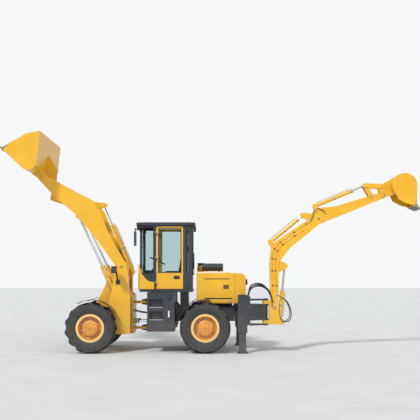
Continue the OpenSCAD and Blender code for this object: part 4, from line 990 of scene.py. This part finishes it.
class BACKHOE_OT_hoses(bpy.types.Operator):
    """Hydraulic hoses with crimped ends, and the steel lines that they join"""
    bl_idname = "backhoe.hoses"
    bl_label = "Hoses and lines"

    def execute(self, context):
        swing, stick, pivot = joint_place("swing"), joint_place("stick_turn"), joint_place("loader_lift")
        post, tip = Vector((swing.x, HOE_Y, 0)), Vector((stick.x, HOE_Y, stick.z))
        arms, steering = Vector((pivot.x, 0, pivot.z)), Vector((joint_place("steering").x, 0, 0))
        rows = []
        for i, (y, lift) in enumerate(((0.115, 0.0), (0.150, 0.035), (-0.115, 0.02), (-0.150, 0.055))):
            side = math.copysign(1, y)
            rows.append((f"swing_hose_{i + 1}", "carriage", "swing_post", 0.024, post, 1, (
                (0.355, y, 1.200), (0.352, y, 1.270), (0.300, y, 1.370 + lift), (0.180, y, 1.420 + lift),
                (0.040, y, 1.395 + lift), (-0.080, y * 0.98, 1.290 + lift * 0.5),
                (-0.130, side * 0.138, 1.150), (-0.140, side * 0.134, 1.040 - lift))))
        # Pairs: name, body at the start and at the end, diameter, origin, half width, then key points from
        # the origin as (x, share of the half width, z)
        pairs = (
            ("boom_ram_hose", "swing_post", "boom", 0.020, post, 0.128, (
                (-0.300, 1, 0.800), (-0.330, 1.12, 0.720), (-0.400, 1.20, 0.665), (-0.490, 1.20, 0.690),
                (-0.540, 1.10, 0.800), (-0.520, 0.98, 0.960), (-0.440, 0.84, 1.110), (-0.330, 0.80, 1.190),
                (-0.250, 0.80, 1.235))),
            ("stick_hose", "boom", "stick", 0.016, tip, 0.104, (
                (0.200, 1, -0.075), (0.162, 1.08, -0.030), (0.130, 1.18, 0.040), (0.105, 1.20, 0.120),
                (0.060, 1.08, 0.187), (-0.005, 0.93, 0.208), (-0.078, 0.83, 0.175), (-0.150, 0.78, 0.110))),
            ("loader_hose", FRONT, "loader_arms", 0.022, arms, 1, (
                (-0.060, 0.330, -0.250), (-0.090, 0.300, -0.190), (-0.095, 0.290, -0.060),
                (-0.040, 0.320, 0.130), (0.055, 0.375, 0.265), (0.130, 0.425, 0.345), (0.190, 0.450, 0.400))),
            ("steering_hose", REAR, FRONT, 0.020, steering, 1, (
                (-0.430, 0.200, 0.900), (-0.370, 0.190, 0.905), (-0.240, 0.165, 0.850),
                (-0.060, 0.150, 0.820), (0.100, 0.155, 0.835), (0.200, 0.165, 0.860), (0.245, 0.165, 0.865))),
        )
        for name, body, to, diameter, origin, half, keys in pairs:
            for i, sign in enumerate((1, -1)):
                rows.append((f"{name}_{i + 1}", body, to, diameter, origin, sign * half, keys))
        for name, body, to, diameter, origin, half, keys in rows:
            path = smooth_path([origin + Vector((x, half * share, z)) for x, share, z in keys])
            hose(name, path, diameter)
            # The crimped steel ferrule and hexagon at each end
            for end, rider, a, b in (("near", body, path[0], path[2]), ("far", to, path[-1], path[-3])):
                way = (b - a).normalized()
                with making(f"{name}_crimp_{end}", "zinc", 30, rider) as bm:
                    add_disc(bm, a - way * 0.012, way, diameter * 0.85, 0.014, 6)
                    add_disc(bm, a, way, diameter * 0.68, 0.036, 14, taper=0.94)
        # Steel lines on the boom: points (x, z) from the swing's axis, then from the stick's pin
        lines = (
            ("boom_line", ((-0.158, 1.270), (-0.150, 1.600), (-0.138, 1.880), (-0.160, 2.120),
                           (-0.245, 2.290), (-0.420, 2.440)), ((0.350, -0.175), (0.215, -0.082))),
            ("boom_line_low", ((-0.250, 1.250), (-0.222, 1.600), (-0.205, 1.880), (-0.225, 2.090),
                               (-0.300, 2.240), (-0.460, 2.380)), ((0.330, -0.245),)),
        )
        clamp = Vector((0.016, 0.009, 0.012))
        for name, lower, upper in lines:
            for side, sign in SIDES.items():
                path = smooth_path([post + Vector((x, sign * 0.0985, z)) for x, z in lower]
                                   + [tip + Vector((x, sign * 0.0985, z)) for x, z in upper])
                tube(f"{name}_{side}", path, LINE_DIAMETER, "boom", "body")
                with making(f"{name}_clamps_{side}", "chassis", body="boom") as bm:
                    for point in path[3:-3:6]:
                        add_block(bm, point - clamp, point + clamp, 0.002)
                        add_bolt(bm, point + Vector((0.011, sign * 0.009, 0)), (0, sign, 0), 0.010, 0.005)
        # Lines along the loader's arms: distance along the arm from its pin, height over it
        arm = slope(ARM_RISE)
        keys = ((0.425, 0.125), (0.740, 0.170), (1.000, 0.235), (1.180, 0.290), (1.330, 0.290))
        for side, sign in SIDES.items():
            foot = Vector((pivot.x, sign * 0.445, pivot.z))
            path = smooth_path([foot + arm * u + square_to(arm) * v for u, v in keys])
            tube(f"arm_line_{side}", path, LINE_DIAMETER, "loader_arms", "body")
        return {"FINISHED"}


class BACKHOE_OT_wear(bpy.types.Operator):
    """Bolts and pins of the buckets' teeth"""
    bl_idname = "backhoe.wear"
    bl_label = "Wear parts"

    def execute(self, context):
        ahead = slope(BUCKET_RISE)
        up = square_to(ahead)
        with making("tooth_bolts", "zinc", 30, "loader_bucket") as bm:
            for i in range(6):
                for reach in (0.782, 0.840):
                    place = joint_place("loader_tilt") + ahead * reach - up * 0.079
                    add_bolt(bm, place + Vector((0, (i - 2.5) * 0.4, 0)), up, 0.026, 0.014)
        ahead = slope(DIG_DIR)
        pin = joint_place("digging_turn") + ahead * 0.702 + square_to(ahead) * 0.006
        with making("tooth_pins", "zinc", 30, "digging_bucket") as bm:
            for i in range(5):
                for sign in (1, -1):
                    place = pin + Vector((0, (i - 2) * 0.125 + sign * 0.0245, 0))
                    add_disc(bm, place, (0, sign, 0), 0.009, 0.003, 14, 0.9)
        return {"FINISHED"}


class BACKHOE_PT_panel(bpy.types.Panel):
    """Sidebar panel with every step"""
    bl_label = "Backhoe loader"
    bl_idname = "BACKHOE_PT_panel"
    bl_space_type = "VIEW_3D"
    bl_region_type = "UI"
    bl_category = "Backhoe"

    def draw(self, context):
        layout = self.layout
        for group in (context.scene.backhoe_sizes, context.scene.backhoe_colours):
            for name in group.__annotations__:
                layout.prop(group, name)
        for operator in STEPS:
            layout.operator(operator.bl_idname)


STEPS = (BACKHOE_OT_stage, BACKHOE_OT_hoses, BACKHOE_OT_enamel, BACKHOE_OT_wheel_nuts, BACKHOE_OT_hood_trim,
         BACKHOE_OT_lamps, BACKHOE_OT_glazing, BACKHOE_OT_seat, BACKHOE_OT_steps, BACKHOE_OT_pins,
         BACKHOE_OT_rams, BACKHOE_OT_carriage, BACKHOE_OT_wear)
CLASSES = (BackhoeSizes, BackhoeColours) + STEPS + (BACKHOE_PT_panel,)


def register():
    for item in CLASSES:
        bpy.utils.register_class(item)
    bpy.types.Scene.backhoe_sizes = bpy.props.PointerProperty(type=BackhoeSizes)
    bpy.types.Scene.backhoe_colours = bpy.props.PointerProperty(type=BackhoeColours)


def unregister():
    del bpy.types.Scene.backhoe_colours
    del bpy.types.Scene.backhoe_sizes
    for item in reversed(CLASSES):
        bpy.utils.unregister_class(item)


def main():
    register()
    for step in STEPS:
        group, name = step.bl_idname.split(".")
        getattr(getattr(bpy.ops, group), name)()


if __name__ == "__main__":
    main()
